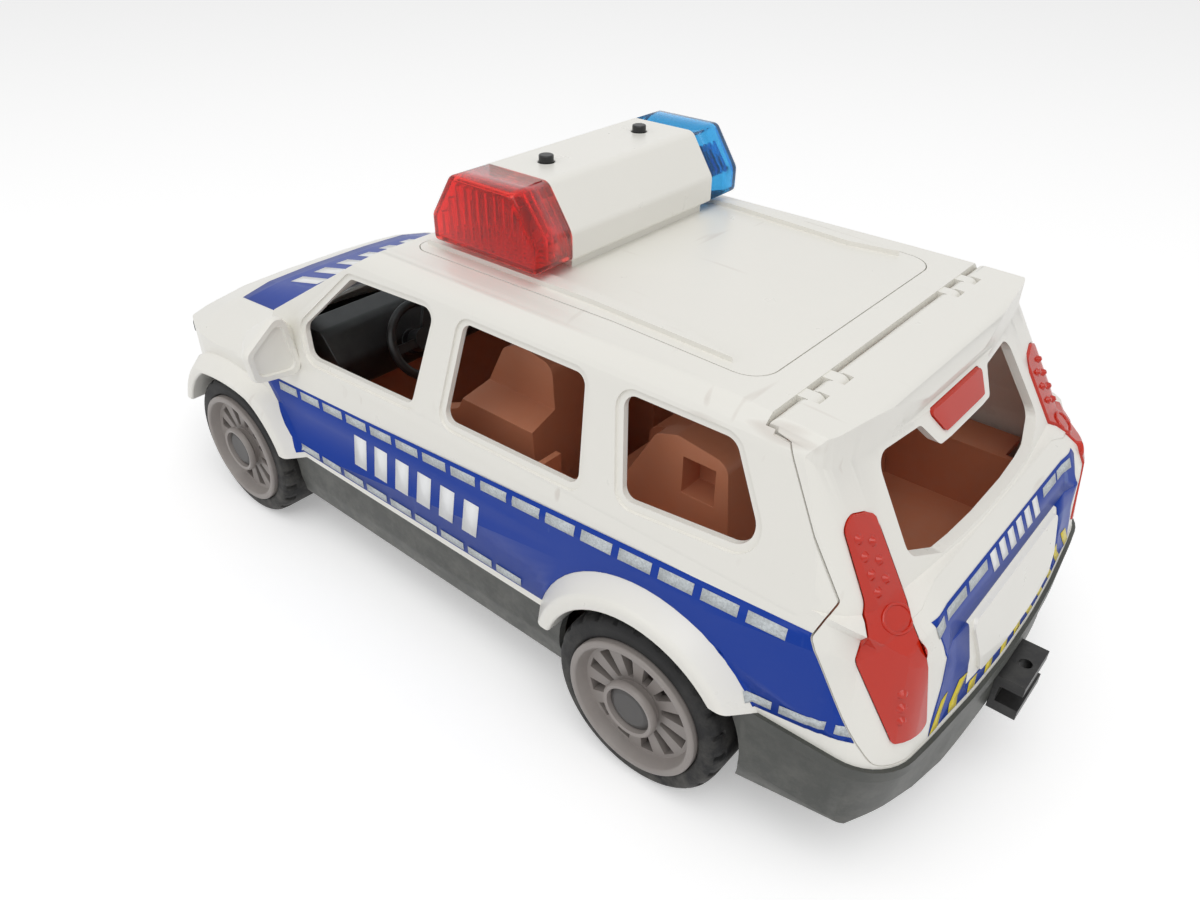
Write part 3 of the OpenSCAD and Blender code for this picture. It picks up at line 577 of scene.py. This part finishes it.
def ease_tail(mesh):
    """Draws the tail below the lamps in to the rake of the tailgate, and lowers the plate with it."""
    slice_faces(mesh, 1, both_sides(TAIL_CUTS_Y), TAIL_SPAN)
    slice_faces(mesh, 2, TAIL_CUTS_Z, TAIL_SPAN)
    slice_faces(mesh, 0, TAIL_CUTS_X, TAIL_SPAN_LONG)
    low, high = TAIL_Z
    for vert in mesh.verts:
        x, y, z = station(vert.co)
        if x > TAIL_FRONT or not low < z < high + TAIL_LEDGE:
            continue
        wide = ramp(abs(y), *TAIL_WIDE)
        draw = between(*TAIL_DRAW, wide**3)
        draw *= ramp(z, low, high) ** between(*TAIL_POWER, wide**3)
        if z > high:
            draw *= 1 - ramp(x, LEDGE_REAR, between(*LEDGE_FRONT, wide**4))
        near = ramp(x, *TAIL_FADE)
        side = ramp(abs(y), *TAIL_SIDES)
        side = side * side * (3 - 2 * side)
        lean = Vector((TAIL_LEAN.x, TAIL_LEAN.y * math.copysign(1, y), TAIL_LEAN.z))
        move = Vector((1, 0, 0)).lerp(lean, side) * draw * near
        move.z += PLATE_DROP * ramp(z, *PLATE_FOOT) * ramp(z, *PLATE_HEAD) * (1 - side) * near
        vert.co += move * MM
    bmesh.ops.triangulate(mesh, faces=faces_within(mesh, TAIL_SPLIT))


def trim_gate_corners(mesh):
    """Trims the upper outer corners of the tailgate so that they pass the body when it opens."""
    for vert in mesh.verts:
        x, y, z = station(vert.co)
        past = abs(y) - GATE_CORNER_Y
        if past > 0 and math.hypot(x - HINGE_X, z - HINGE_Z) < GATE_CORNER_REACH:
            vert.co.y = math.copysign(GATE_CORNER_Y + past * GATE_CORNER_KEEP, y) * MM


def crown_nose(mesh):
    """Rounds the bonnet down towards the wings."""
    slice_faces(mesh, 0, NOSE_CUTS_X, NOSE_SPAN_LONG)
    slice_faces(mesh, 1, both_sides(NOSE_CUTS_Y), NOSE_SPAN)
    for vert in mesh.verts:
        x, y, z = station(vert.co)
        if x > NOSE_FADE[0] and z > NOSE_LOW:
            top = BONNET_Z - (x - BONNET_X) * BONNET_SLOPE
            fall = NOSE_FALL * ramp(abs(y), *NOSE_WIDE) ** 4
            vert.co.z -= fall * ramp(x, *NOSE_FADE) * ramp(z, NOSE_LOW, top) * MM
    bmesh.ops.triangulate(mesh, faces=faces_within(mesh, NOSE_SPLIT))


def step_seat(mesh):
    """Narrows the upper back of a front seat on its outer side."""
    slice_faces(mesh, 2, SEAT_STEP_Z)
    slice_faces(mesh, 1, both_sides(SEAT_STEP_Y))
    for vert in mesh.verts:
        _, y, z = station(vert.co)
        shift = SEAT_STEP * ramp(z, *SEAT_STEP_Z) * ramp(abs(y), *SEAT_STEP_Y)
        vert.co.y -= math.copysign(shift, y) * MM


def lift_bumper(mesh):
    """Lets the lower edge of the rear bumper rise towards the tail and tucks its lower corners in."""
    for vert in mesh.verts:
        x, y, z = station(vert.co)
        if z < BUMPER_LOW:
            vert.co.z += BUMPER_LIFT * ramp(x, *BUMPER_RISE) * MM
        corner = ramp(x, *BUMPER_TUCK_X) * ramp(abs(y), *BUMPER_TUCK_Y)
        tuck = BUMPER_TUCK * ramp(z, *BUMPER_TUCK_Z) * corner
        vert.co += Vector((tuck, -math.copysign(tuck, y), 0)) * MM


RESHAPES = {
    "body_shell": (ease_tail, crown_nose),
    "tailgate": (ease_tail, trim_gate_corners),
    "tail_light_left": (ease_tail,),
    "tail_light_right": (ease_tail,),
    "headlight_left": (crown_nose,),
    "headlight_right": (crown_nose,),
    "grille": (crown_nose,),
    "driver_seat": (step_seat,),
    "passenger_seat": (step_seat,),
    "chassis": (lift_bumper,),
}


def merged_mesh(node):
    """A joined copy of a CAD node's loose triangles as a bmesh, reshaped where the node asks for it."""
    mesh = bmesh.new()
    mesh.from_mesh(NODES[node].data)
    bmesh.ops.remove_doubles(mesh, verts=mesh.verts[:], dist=WELD_REACH * MM)
    bmesh.ops.dissolve_limit(mesh, angle_limit=math.radians(0.3), verts=mesh.verts[:], edges=mesh.edges[:])
    for reshape in RESHAPES.get(node, ()):
        reshape(mesh)
    return mesh


def surface(node):
    """The search tree of a dressed node's surface, for the optics that stand on it."""
    mesh = merged_mesh(node)
    bmesh.ops.triangulate(mesh, faces=mesh.faces[:])
    tree = BVHTree.FromBMesh(mesh)
    mesh.free()
    return tree


def body_name(node):
    """The name of the body that carries a CAD node."""
    body = body_of(NODES[node])
    return body if isinstance(body, str) else list(body)[0]


def new_piece(name, mesh, material, body, smooth=35.0):
    """Makes a bmesh an object at the origin with its finish, riding on a body."""
    data = bpy.data.meshes.new(name)
    mesh.to_mesh(data)
    mesh.free()
    piece = bpy.data.objects.new(name, data)
    bpy.context.scene.collection.objects.link(piece)
    data.materials.append(material)
    data.polygons.foreach_set("use_smooth", [True] * len(data.polygons))
    data.set_sharp_from_angle(angle=math.radians(smooth))
    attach(piece, body)
    return piece


def dress(node, material, rounded=True):
    """Shows a merged copy of a CAD node in its place, with rounded moulded edges where asked."""
    piece = new_piece(node + "_moulding", merged_mesh(node), material, body_name(node))
    if rounded:
        edge = piece.modifiers.new("moulded_edges", "BEVEL")
        edge.width = sizes().edge_round
        edge.segments = 2
        edge.limit_method = "ANGLE"
        edge.angle_limit = math.radians(40)
        even = piece.modifiers.new("even_normals", "WEIGHTED_NORMAL")
        even.keep_sharp = True
    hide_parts(node)


def edge_loop(mesh, points):
    """The edges of a closed loop through points."""
    verts = [mesh.verts.new(point) for point in points]
    return [mesh.edges.new(pair) for pair in zip(verts, verts[1:] + verts[:1])]


def bar_loop(y, inset):
    """Points of the light bar's section at one place across, drawn in by an inset."""
    long = 1 - inset / BAR_HALF
    high = 1 - inset / BAR_MIDDLE
    return [
        at(BAR_X + x * long, y, BAR_Z + BAR_MIDDLE + (z - BAR_MIDDLE) * high) for x, z in BAR_OUTLINE
    ]


def lens_cup(node, sign, material):
    """A lens of the light bar: a cup with crisp ends that opens to the housing."""
    mesh = bmesh.new()
    rim = edge_loop(mesh, bar_loop(sign * LENS_FROM, 0))
    made = bmesh.ops.extrude_edge_only(mesh, edges=rim)["geom"]
    end = [item for item in made if isinstance(item, bmesh.types.BMVert)]
    bmesh.ops.translate(mesh, verts=end, vec=(0, sign * (LENS_TO - LENS_FROM) * MM, 0))
    bmesh.ops.contextual_create(mesh, geom=[e for e in made if isinstance(e, bmesh.types.BMEdge)])
    bmesh.ops.recalc_face_normals(mesh, faces=mesh.faces[:])
    if sum(f.normal.y * sign for f in mesh.faces) < 0:
        bmesh.ops.reverse_faces(mesh, faces=mesh.faces[:])
    corners = [e for e in mesh.edges if not e.is_boundary]
    bmesh.ops.bevel(
        mesh, geom=corners, offset=LENS_ROUND * MM, affect="EDGES", segments=4, profile=0.5, material=-1,
        clamp_overlap=True,
    )
    cup = new_piece(node + "_cup", mesh, material, body_name(node), smooth=40.0)
    wall = cup.modifiers.new("wall", "SOLIDIFY")
    wall.thickness = LENS_WALL * MM
    wall.offset = -1
    wall.use_even_offset = True
    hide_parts(node)


def lens_flutes(node, sign, material):
    """The ribs round the inside of a lens and the upright flutes behind its end."""
    mesh = bmesh.new()
    for k in range(RIB_COUNT):
        y = LENS_FROM + RIB_FIRST + RIB_PITCH * k
        loops = [edge_loop(mesh, bar_loop(sign * (y + place), inset)) for place, inset in RIB_PROFILE]
        for loop, after in zip(loops, loops[1:] + loops[:1]):
            bmesh.ops.bridge_loops(mesh, edges=loop + after)
    back = sign * (LENS_TO - LENS_WALL - FLUTE_GAP)
    for k in range(FLUTE_COUNT):
        x = FLUTE_PITCH * (k - FLUTE_COUNT // 2)
        top = FLUTE_TOP - max(abs(x) - FLUTE_SHOULDER, 0) * FLUTE_FALL
        bmesh.ops.create_cone(
            mesh, cap_ends=True, segments=12, radius1=FLUTE_RADIUS * MM, radius2=FLUTE_RADIUS * MM,
            depth=(top - FLUTE_FOOT) * MM,
            matrix=Matrix.Translation(at(BAR_X + x, back, BAR_Z + (top + FLUTE_FOOT) / 2)),
        )
    bmesh.ops.recalc_face_normals(mesh, faces=mesh.faces[:])
    new_piece(node + "_flutes", mesh, material, body_name(node), smooth=40.0)


def mirror_pod(node, sign, material):
    """A door mirror: a hull round a few balls, flat at the back with a sunk glass field."""
    mesh = bmesh.new()
    for x, y, z, radius in MIRROR_BALLS:
        bmesh.ops.create_icosphere(
            mesh, subdivisions=4, radius=radius * MM, matrix=Matrix.Translation(at(x, sign * y, z))
        )
    hull = bmesh.ops.convex_hull(mesh, input=mesh.verts[:], use_existing_faces=False)
    loose = [item for item in hull["geom_interior"] if isinstance(item, bmesh.types.BMVert)]
    bmesh.ops.delete(mesh, geom=loose, context="VERTS")
    kept = set(hull["geom"])
    stray = [f for f in mesh.faces if f not in kept]
    bmesh.ops.delete(mesh, geom=stray, context="FACES")
    cut = bmesh.ops.bisect_plane(
        mesh, geom=mesh.verts[:] + mesh.edges[:] + mesh.faces[:], plane_co=at(MIRROR_BACK, 0, 0),
        plane_no=(-1, 0, 0), clear_outer=True, dist=SLICE_REACH * MM,
    )
    rim = [item for item in cut["geom_cut"] if isinstance(item, bmesh.types.BMEdge)]
    back = bmesh.ops.contextual_create(mesh, geom=rim)["faces"]
    bmesh.ops.recalc_face_normals(mesh, faces=mesh.faces[:])
    for shrink, sink in MIRROR_FIELD:
        back = bmesh.ops.extrude_discrete_faces(mesh, faces=back)["faces"]
        middle = back[0].calc_center_median()
        for vert in back[0].verts:
            vert.co = middle + (vert.co - middle) * shrink + Vector((sink * MM, 0, 0))
    bmesh.ops.recalc_face_normals(mesh, faces=mesh.faces[:])
    pod = new_piece(node + "_pod", mesh, material, body_name(node), smooth=40.0)
    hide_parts(node)


def hub_rings(node, x, material):
    """The raised rings that stand round the two hub caps of an axle."""
    mesh = bmesh.new()
    for sign in (1, -1):
        profile = edge_loop(mesh, [at(x + radius, sign * y, AXLE_Z) for radius, y in HUB_RING])
        corners = list(dict.fromkeys(v for e in profile for v in e.verts))
        bmesh.ops.spin(
            mesh, geom=corners + profile, axis=(0, 1, 0), cent=at(x, 0, AXLE_Z), angle=math.tau,
            steps=HUB_STEPS, use_merge=True,
        )
    bmesh.ops.recalc_face_normals(mesh, faces=mesh.faces[:])
    new_piece(node + "_rings", mesh, material, body_name(node), smooth=40.0)


def facing_skin(node, side):
    """The faces of a merged CAD node that look to one side, from its outer half only."""
    key = (node, side)
    if key not in SKINS:
        _, way, limit = PRINT_SIDES[side]
        mesh = merged_mesh(node)
        mesh.normal_update()
        away = [
            f for f in mesh.faces
            if f.normal.dot(way) < PRINT_FACING or station(f.calc_center_median()).dot(way) < limit
        ]
        bmesh.ops.delete(mesh, geom=away, context="FACES")
        SKINS[key] = mesh
    return SKINS[key]


def inside(spot, outline):
    """Whether a flat point lies inside an outline."""
    hits = False
    for (ax, ay), (bx, by) in zip(outline, outline[1:] + outline[:1]):
        if (ay > spot[1]) != (by > spot[1]):
            if spot[0] < (bx - ax) * (spot[1] - ay) / (by - ay) + ax:
                hits = not hits
    return hits


def apart(face, box, flat):
    """Whether a face lies wholly beside a flat box."""
    for axis, (low, high) in zip(flat, box):
        spots = [vert.co[axis] for vert in face.verts]
        if max(spots) < low or min(spots) > high:
            return True
    return False


def cut_skin(skin, shape, flat):
    """A copy of a skin that is cut along a flat shape and keeps what lies inside it."""
    cut = skin.copy()
    box = [(min(spots), max(spots)) for spots in zip(*shape)]
    bmesh.ops.delete(cut, geom=[f for f in cut.faces if apart(f, box, flat)], context="FACES")
    for (ax, ay), (bx, by) in zip(shape, shape[1:] + shape[:1]):
        place = Vector((0, 0, 0))
        place[flat[0]], place[flat[1]] = ax, ay
        normal = Vector((0, 0, 0))
        normal[flat[0]], normal[flat[1]] = by - ay, ax - bx
        bmesh.ops.bisect_plane(
            cut, geom=cut.verts[:] + cut.edges[:] + cut.faces[:], plane_co=place,
            plane_no=normal.normalized(), dist=PRINT_REACH * MM,
        )
    outer = []
    for face in cut.faces:
        middle = face.calc_center_median()
        if not inside((middle[flat[0]], middle[flat[1]]), shape):
            outer.append(face)
    bmesh.ops.delete(cut, geom=outer, context="FACES")
    return cut


def print_sheet(name, node, outlines, side, material, layer=0):
    """Lays flat outlines on a CAD surface as one thin printed film.

    Each outline is in millimetres from the rear axle, middle and ground: x and z for a flank,
    y and z for the tail, x and y for the bonnet. The surface itself is cut along each outline."""
    flat = PRINT_SIDES[side][0]
    start = AXLE_X if flat[0] == 0 else 0
    data = bpy.data.meshes.new(name)
    total = bmesh.new()
    for outline in outlines:
        shape = [(start + a * MM, b * MM) for a, b in outline]
        cut = cut_skin(facing_skin(node, side), shape, flat)
        cut.to_mesh(data)
        cut.free()
        total.from_mesh(data)
    bpy.data.meshes.remove(data)
    if not total.faces:
        raise RuntimeError("print " + name + " misses " + node)
    total.normal_update()
    for vert in total.verts:
        vert.co += vert.normal * (sizes().lift + layer * (sizes().film + sizes().lift))
    piece = new_piece(name, total, material, body_name(node), smooth=60.0)
    film = piece.modifiers.new("film", "SOLIDIFY")
    film.thickness = sizes().film
    film.offset = 1


class PATROL_OT_shell(bpy.types.Operator):
    """Dress the cream mouldings: body, tailgate, roof and mirrors"""

    bl_idname = "patrol.shell"
    bl_label = "Shell mouldings"

    def execute(self, context):
        for node in ("body_shell", "tailgate", "roof_panel"):
            dress(node, shell_finish())
        mirror_pod("mirror_left", 1, shell_finish())
        mirror_pod("mirror_right", -1, shell_finish())
        return {"FINISHED"}


class PATROL_OT_skirt(bpy.types.Operator):
    """Dress the charcoal floor pan, the grille, the hitch, the screws below and the hinge pins"""

    bl_idname = "patrol.skirt"
    bl_label = "Skirt and hitch"

    def execute(self, context):
        dress("chassis", skirt_finish())
        for node in ("grille", "tow_hitch"):
            dress(node, trim_finish())
        for node in ("chassis_screws", "hinge_pins"):
            dress(node, steel_finish(), rounded=False)
        return {"FINISHED"}


class PATROL_OT_cabin(bpy.types.Operator):
    """Dress the tub, the seats, the bench, the dashboard and the steering wheel"""

    bl_idname = "patrol.cabin"
    bl_label = "Cabin"

    def execute(self, context):
        for node in ("cabin_tub", "driver_seat", "passenger_seat", "rear_bench"):
            dress(node, cabin_finish())
        for node in ("dashboard", "steering_wheel"):
            dress(node, trim_finish())
        return {"FINISHED"}


class PATROL_OT_lamps(bpy.types.Operator):
    """Dress the windscreen, the headlamps, the tail lamps and the brake light"""

    bl_idname = "patrol.lamps"
    bl_label = "Glazing and lamps"

    def execute(self, context):
        for node in ("windscreen", "headlight_left", "headlight_right"):
            dress(node, clear_finish(), rounded=False)
        for node in ("tail_light_left", "tail_light_right", "brake_light"):
            dress(node, lamp_finish())
        return {"FINISHED"}


class PATROL_OT_light_bar(bpy.types.Operator):
    """Dress the light bar with its housing, lenses, buttons, cells and circuit board"""

    bl_idname = "patrol.light_bar"
    bl_label = "Light bar"

    def execute(self, context):
        for node in ("light_bar_housing", "light_bar_frame", "battery_door"):
            dress(node, shell_finish())
        for hue, sign, colour in (("red", 1, colours().red_lens), ("blue", -1, colours().blue_lens)):
            clear = lens_finish(hue + "_clear", colour)
            lens_cup(hue + "_lens", sign, clear)
            lens_flutes(hue + "_lens", sign, clear)
        for node in ("light_button", "sound_button", "sounder"):
            dress(node, trim_finish())
        board = finish("green_board", linear(32, 96, 62), polish=0.35, shade=0.25, bump=0.05)
        dress("circuit_board", board, rounded=False)
        dress("red_led", lens_finish("red_dome", linear(245, 90, 80)), rounded=False)
        dress("blue_led", lens_finish("blue_dome", linear(120, 190, 245)), rounded=False)
        wrap = finish("cell_wrap", linear(44, 62, 92), polish=0.25, shade=0.15)
        dress("batteries", wrap, rounded=False)
        for node in ("battery_contacts", "battery_door_screws"):
            dress(node, steel_finish(), rounded=False)
        return {"FINISHED"}


class PATROL_OT_wheels(bpy.types.Operator):
    """Dress the tyres, the rims, the hub caps and the axles"""

    bl_idname = "patrol.wheels"
    bl_label = "Wheels"

    def execute(self, context):
        for end, x in (("front", WHEELBASE), ("rear", 0)):
            hub_rings(end + "_hub_caps", x, rim_finish())
            dress(end + "_tyres", rubber_finish(), rounded=False)
            dress(end + "_rims", rim_finish())
            dress(end + "_hub_caps", hub_finish())
            dress(end + "_axle", steel_finish(), rounded=False)
        return {"FINISHED"}


def flank_band():
    """Outline of the blue flank band, with the rear wheel arch cut from its lower edge."""
    arch = []
    for k in range(ARCH_STEPS + 1):
        turn = math.radians(ARCH_START - ARCH_SWEEP * k / ARCH_STEPS)
        arch.append((ARCH_RADIUS * math.cos(turn), AXLE_Z + ARCH_RADIUS * math.sin(turn)))
    return [*BAND_UPPER, *arch, *BAND_FRONT]


def dash_row(first, pitch, count, length, height, line):
    """Outlines of a row of dashes that run back from the first along a sloping line."""
    place, level, slope = line
    row = []
    for k in range(count):
        x = first - pitch * k
        top = [(end, level + (place - end) * slope) for end in (x, x - length)]
        row.append(top + [(end, z - height) for end, z in reversed(top)])
    return row


def slanted_bars(first, pitch, width, low, high, lean, count):
    """Outlines of a row of plain slanted bars."""
    row = []
    for k in range(count):
        start = first + k * pitch
        end = start + width
        row.append([(start, low), (end, low), (end + lean, high), (start + lean, high)])
    return row


def mirrored(outlines):
    """The same outlines on the other side of the middle."""
    return [[(-y, z) for y, z in outline] for outline in outlines]


class PATROL_OT_flank_print(bpy.types.Operator):
    """Print the blue band, the dashes and the slanted bars on both flanks"""

    bl_idname = "patrol.flank_print"
    bl_label = "Flank print"

    def execute(self, context):
        length = sizes().dash_length / MM
        dashes = dash_row(**UPPER_DASHES, pitch=sizes().dash_pitch / MM, length=length)
        dashes += dash_row(**LOWER_DASHES, length=length)
        dashes += REAR_DASHES
        bars = slanted_bars(**FLANK_BARS, count=sizes().bar_count)
        for side in ("left", "right"):
            print_sheet("blue_band_" + side, "body_shell", [flank_band()], side, blue_finish())
            print_sheet("band_dashes_" + side, "body_shell", dashes, side, silver_finish(), 1)
            print_sheet("band_bars_" + side, "body_shell", bars, side, white_finish(), 1)
        return {"FINISHED"}


class PATROL_OT_tail_print(bpy.types.Operator):
    """Print the band, the dashes, the bars and the warning stripes on the tailgate"""

    bl_idname = "patrol.tail_print"
    bl_label = "Tail print"

    def execute(self, context):
        yellow = finish("yellow_print", colours().warning, polish=0.34, shade=0.08, sparkle=0.1)
        band = [TAIL_BAND_TOP, TAIL_BAND_SIDE, *mirrored([TAIL_BAND_SIDE]), TAIL_BAND_BASE]
        print_sheet("tail_band", "tailgate", band, "tail", blue_finish())
        dashes = [
            [(a, TAIL_DASH_TOP), (b, TAIL_DASH_TOP), (b, TAIL_DASH_FOOT), (a, TAIL_DASH_FOOT)]
            for a, b in TAIL_DASHES
        ]
        print_sheet("tail_dashes", "tailgate", dashes, "tail", silver_finish(), 1)
        bars = slanted_bars(**TAIL_BARS, count=sizes().bar_count)
        print_sheet("tail_bars", "tailgate", bars, "tail", white_finish(), 1)
        stripes = slanted_bars(**STRIPES, **TALL_STRIPES) + slanted_bars(**STRIPES, **SHORT_STRIPES)
        print_sheet("tail_stripes", "tailgate", stripes + mirrored(stripes), "tail", yellow, 1)
        return {"FINISHED"}


class PATROL_OT_bonnet_print(bpy.types.Operator):
    """Print the blue field and its white bars on the bonnet"""

    bl_idname = "patrol.bonnet_print"
    bl_label = "Bonnet print"

    def execute(self, context):
        print_sheet("bonnet_field", "body_shell", [BONNET_FIELD], "top", blue_finish())
        rows = slanted_bars(**BONNET_BARS, count=sizes().bar_count)
        bars = [[(x, y) for y, x in row] for row in rows]
        print_sheet("bonnet_bars", "body_shell", bars, "top", white_finish(), 1)
        return {"FINISHED"}


def lamp_spot(tree, place, sign):
    """The point of a lamp face that is nearest to a place, the way it faces, and the turn to it."""
    x, y, z = place
    spot, normal, _, _ = tree.find_nearest(at(x, sign * y, z))
    return spot, normal, normal.to_track_quat("Z", "Y").to_matrix().to_4x4()


def lamp_cone(mesh, tree, place, sign):
    """Stands a blunt cone on a lamp face."""
    spot, normal, turn = lamp_spot(tree, place, sign)
    bmesh.ops.create_cone(
        mesh, cap_ends=True, segments=20, radius1=sizes().cone_radius,
        radius2=sizes().cone_radius * CONE_TIP, depth=CONE_DEPTH * MM,
        matrix=Matrix.Translation(spot + normal * CONE_LIFT * MM) @ turn,
    )


def lamp_ring(mesh, tree, place, sign, wide, tall):
    """Lays an oval ring on a lamp face, so that it follows the face."""
    spot, normal, turn = lamp_spot(tree, place, sign)
    before = set(mesh.verts)
    wire = bmesh.ops.create_circle(
        mesh, segments=10, radius=LAMP_RING_WIRE * MM, matrix=Matrix.Rotation(math.radians(90), 4, "X")
    )["verts"]
    bmesh.ops.translate(mesh, verts=wire, vec=(wide * MM, 0, 0))
    loop = list(dict.fromkeys(e for v in wire for e in v.link_edges))
    bmesh.ops.spin(
        mesh, geom=wire + loop, axis=(0, 0, 1), cent=(0, 0, 0), angle=math.tau, steps=LAMP_RING_STEPS,
        use_merge=True,
    )
    made = [v for v in mesh.verts if v not in before]
    bmesh.ops.scale(mesh, vec=(1, tall / wide, 1), verts=made)
    bmesh.ops.transform(mesh, matrix=Matrix.Translation(spot) @ turn, verts=made)
    for vert in made:
        height = (vert.co - spot).dot(normal)
        hit, _, _, _ = tree.ray_cast(vert.co + normal * (LAMP_RING_REACH * MM - height), -normal)
        if hit:
            vert.co = hit + normal * height


class PATROL_OT_lamp_optics(bpy.types.Operator):
    """Set the moulded cones and the two oval rings on each tail lamp"""

    bl_idname = "patrol.lamp_optics"
    bl_label = "Lamp optics"

    def execute(self, context):
        for side, sign in (("left", 1), ("right", -1)):
            node = "tail_light_" + side
            tree = surface(node)
            mesh = bmesh.new()
            for top, foot, count in CONE_ROWS:
                for k in range(count):
                    lamp_cone(mesh, tree, Vector(top).lerp(Vector(foot), k / (count - 1)), sign)
            for place, wide, tall in LAMP_RINGS:
                lamp_ring(mesh, tree, place, sign, wide, tall)
            bmesh.ops.recalc_face_normals(mesh, faces=mesh.faces[:])
            new_piece("lamp_optics_" + side, mesh, lamp_finish(), body_name(node), smooth=50.0)
        return {"FINISHED"}


def show_seen(tree, plain, seen, end):
    """Ends a shader tree with a look of its own for the rays that show the backdrop.

    Those are the rays to the camera, in gloss and through clear pieces."""
    path = add_node(tree, "ShaderNodeLightPath")
    either = math_node(tree, "MAXIMUM", path.outputs["Is Camera Ray"], path.outputs["Is Transmission Ray"])
    mask = math_node(tree, "MAXIMUM", either, path.outputs["Is Glossy Ray"])
    links = [(0, mask), (1, plain.outputs[0]), (2, seen.outputs[0])]
    mix = add_node(tree, "ShaderNodeMixShader", links)
    tree.links.new(mix.outputs[0], tree.nodes[end].inputs["Surface"])


def place_camera(scene):
    """Sets up the camera where the photograph was taken from."""
    turn = Matrix((CAMERA_RIGHT, CAMERA_UP, CAMERA_RIGHT.cross(CAMERA_UP))).transposed().to_4x4()
    camera = bpy.data.objects.new("photo_camera", bpy.data.cameras.new("photo_camera"))
    scene.collection.objects.link(camera)
    camera.matrix_world = Matrix.Translation(at(*CAMERA_PLACE)) @ turn
    camera.data.lens = CAMERA_LENS
    camera.data.sensor_width = CAMERA_SENSOR
    camera.data.clip_start = 0.01
    scene.camera = camera


def lay_floor(scene):
    """Lays a pale paper floor that looks as bright as the backdrop."""
    mesh = bmesh.new()
    bmesh.ops.create_circle(mesh, cap_ends=True, segments=96, radius=FLOOR_RADIUS)
    data = bpy.data.meshes.new("floor")
    mesh.to_mesh(data)
    mesh.free()
    floor = bpy.data.objects.new("floor", data)
    scene.collection.objects.link(floor)
    paper = bpy.data.materials.new("pale_paper")
    paper.use_nodes = True
    data.materials.append(paper)
    tree = paper.node_tree
    shader = tree.nodes["Principled BSDF"]
    shader.inputs["Base Color"].default_value = (FLOOR_TONE, FLOOR_TONE, FLOOR_TONE, 1)
    shader.inputs["Roughness"].default_value = 0.9
    shader.inputs["Specular IOR Level"].default_value = 0.0
    glow = add_node(tree, "ShaderNodeEmission", [("Color", WHITE), ("Strength", FLOOR_GLOW)])
    lit = add_node(tree, "ShaderNodeAddShader", [(0, shader.outputs[0]), (1, glow.outputs[0])])
    show_seen(tree, shader, lit, "Material Output")


def light_room(scene):
    """Lights the scene by a white room and two soft boxes."""
    world = bpy.data.worlds.new("studio")
    scene.world = world
    world.use_nodes = True
    tree = world.node_tree
    room = tree.nodes["Background"]
    room.inputs["Color"].default_value = WHITE
    room.inputs["Strength"].default_value = ROOM_LIGHT
    seen = add_node(tree, "ShaderNodeBackground", [("Color", WHITE), ("Strength", 1.0)])
    show_seen(tree, room, seen, "World Output")
    for name, spot, power, width in SOFTBOXES:
        lamp = bpy.data.objects.new(name, bpy.data.lights.new(name, "AREA"))
        lamp.data.energy = power
        lamp.data.size = width
        lamp.location = spot
        lamp.rotation_euler = (SOFTBOX_AIM - lamp.location).to_track_quat("-Z", "Y").to_euler()
        scene.collection.objects.link(lamp)


class PATROL_OT_stage(bpy.types.Operator):
    """Set the camera, the pale floor and the soft light"""

    bl_idname = "patrol.stage"
    bl_label = "Stage"

    def execute(self, context):
        context.scene.view_settings.view_transform = "Standard"
        place_camera(context.scene)
        lay_floor(context.scene)
        light_room(context.scene)
        return {"FINISHED"}


class PATROL_PT_sidebar(bpy.types.Panel):
    """Lists the steps of the dressing"""

    bl_idname = "PATROL_PT_sidebar"
    bl_label = "Patrol Estate"
    bl_space_type = "VIEW_3D"
    bl_region_type = "UI"
    bl_category = "Patrol Estate"

    def draw(self, context):
        for step in STEPS:
            self.layout.operator(step.bl_idname)
        for group in (context.scene.patrol_colours, context.scene.patrol_sizes):
            for key in group.__annotations__:
                self.layout.prop(group, key)


STEPS = (
    PATROL_OT_stage,
    PATROL_OT_shell,
    PATROL_OT_skirt,
    PATROL_OT_cabin,
    PATROL_OT_lamps,
    PATROL_OT_light_bar,
    PATROL_OT_wheels,
    PATROL_OT_flank_print,
    PATROL_OT_tail_print,
    PATROL_OT_bonnet_print,
    PATROL_OT_lamp_optics,
)
CLASSES = (PatrolColours, PatrolSizes, *STEPS, PATROL_PT_sidebar)


def register():
    for item in CLASSES:
        bpy.utils.register_class(item)
    bpy.types.Scene.patrol_colours = PointerProperty(type=PatrolColours)
    bpy.types.Scene.patrol_sizes = PointerProperty(type=PatrolSizes)


def unregister():
    del bpy.types.Scene.patrol_sizes
    del bpy.types.Scene.patrol_colours
    for item in reversed(CLASSES):
        bpy.utils.unregister_class(item)


def main():
    register()
    for step in STEPS:
        group, name = step.bl_idname.split(".")
        getattr(getattr(bpy.ops, group), name)()


if __name__ == "__main__":
    main()
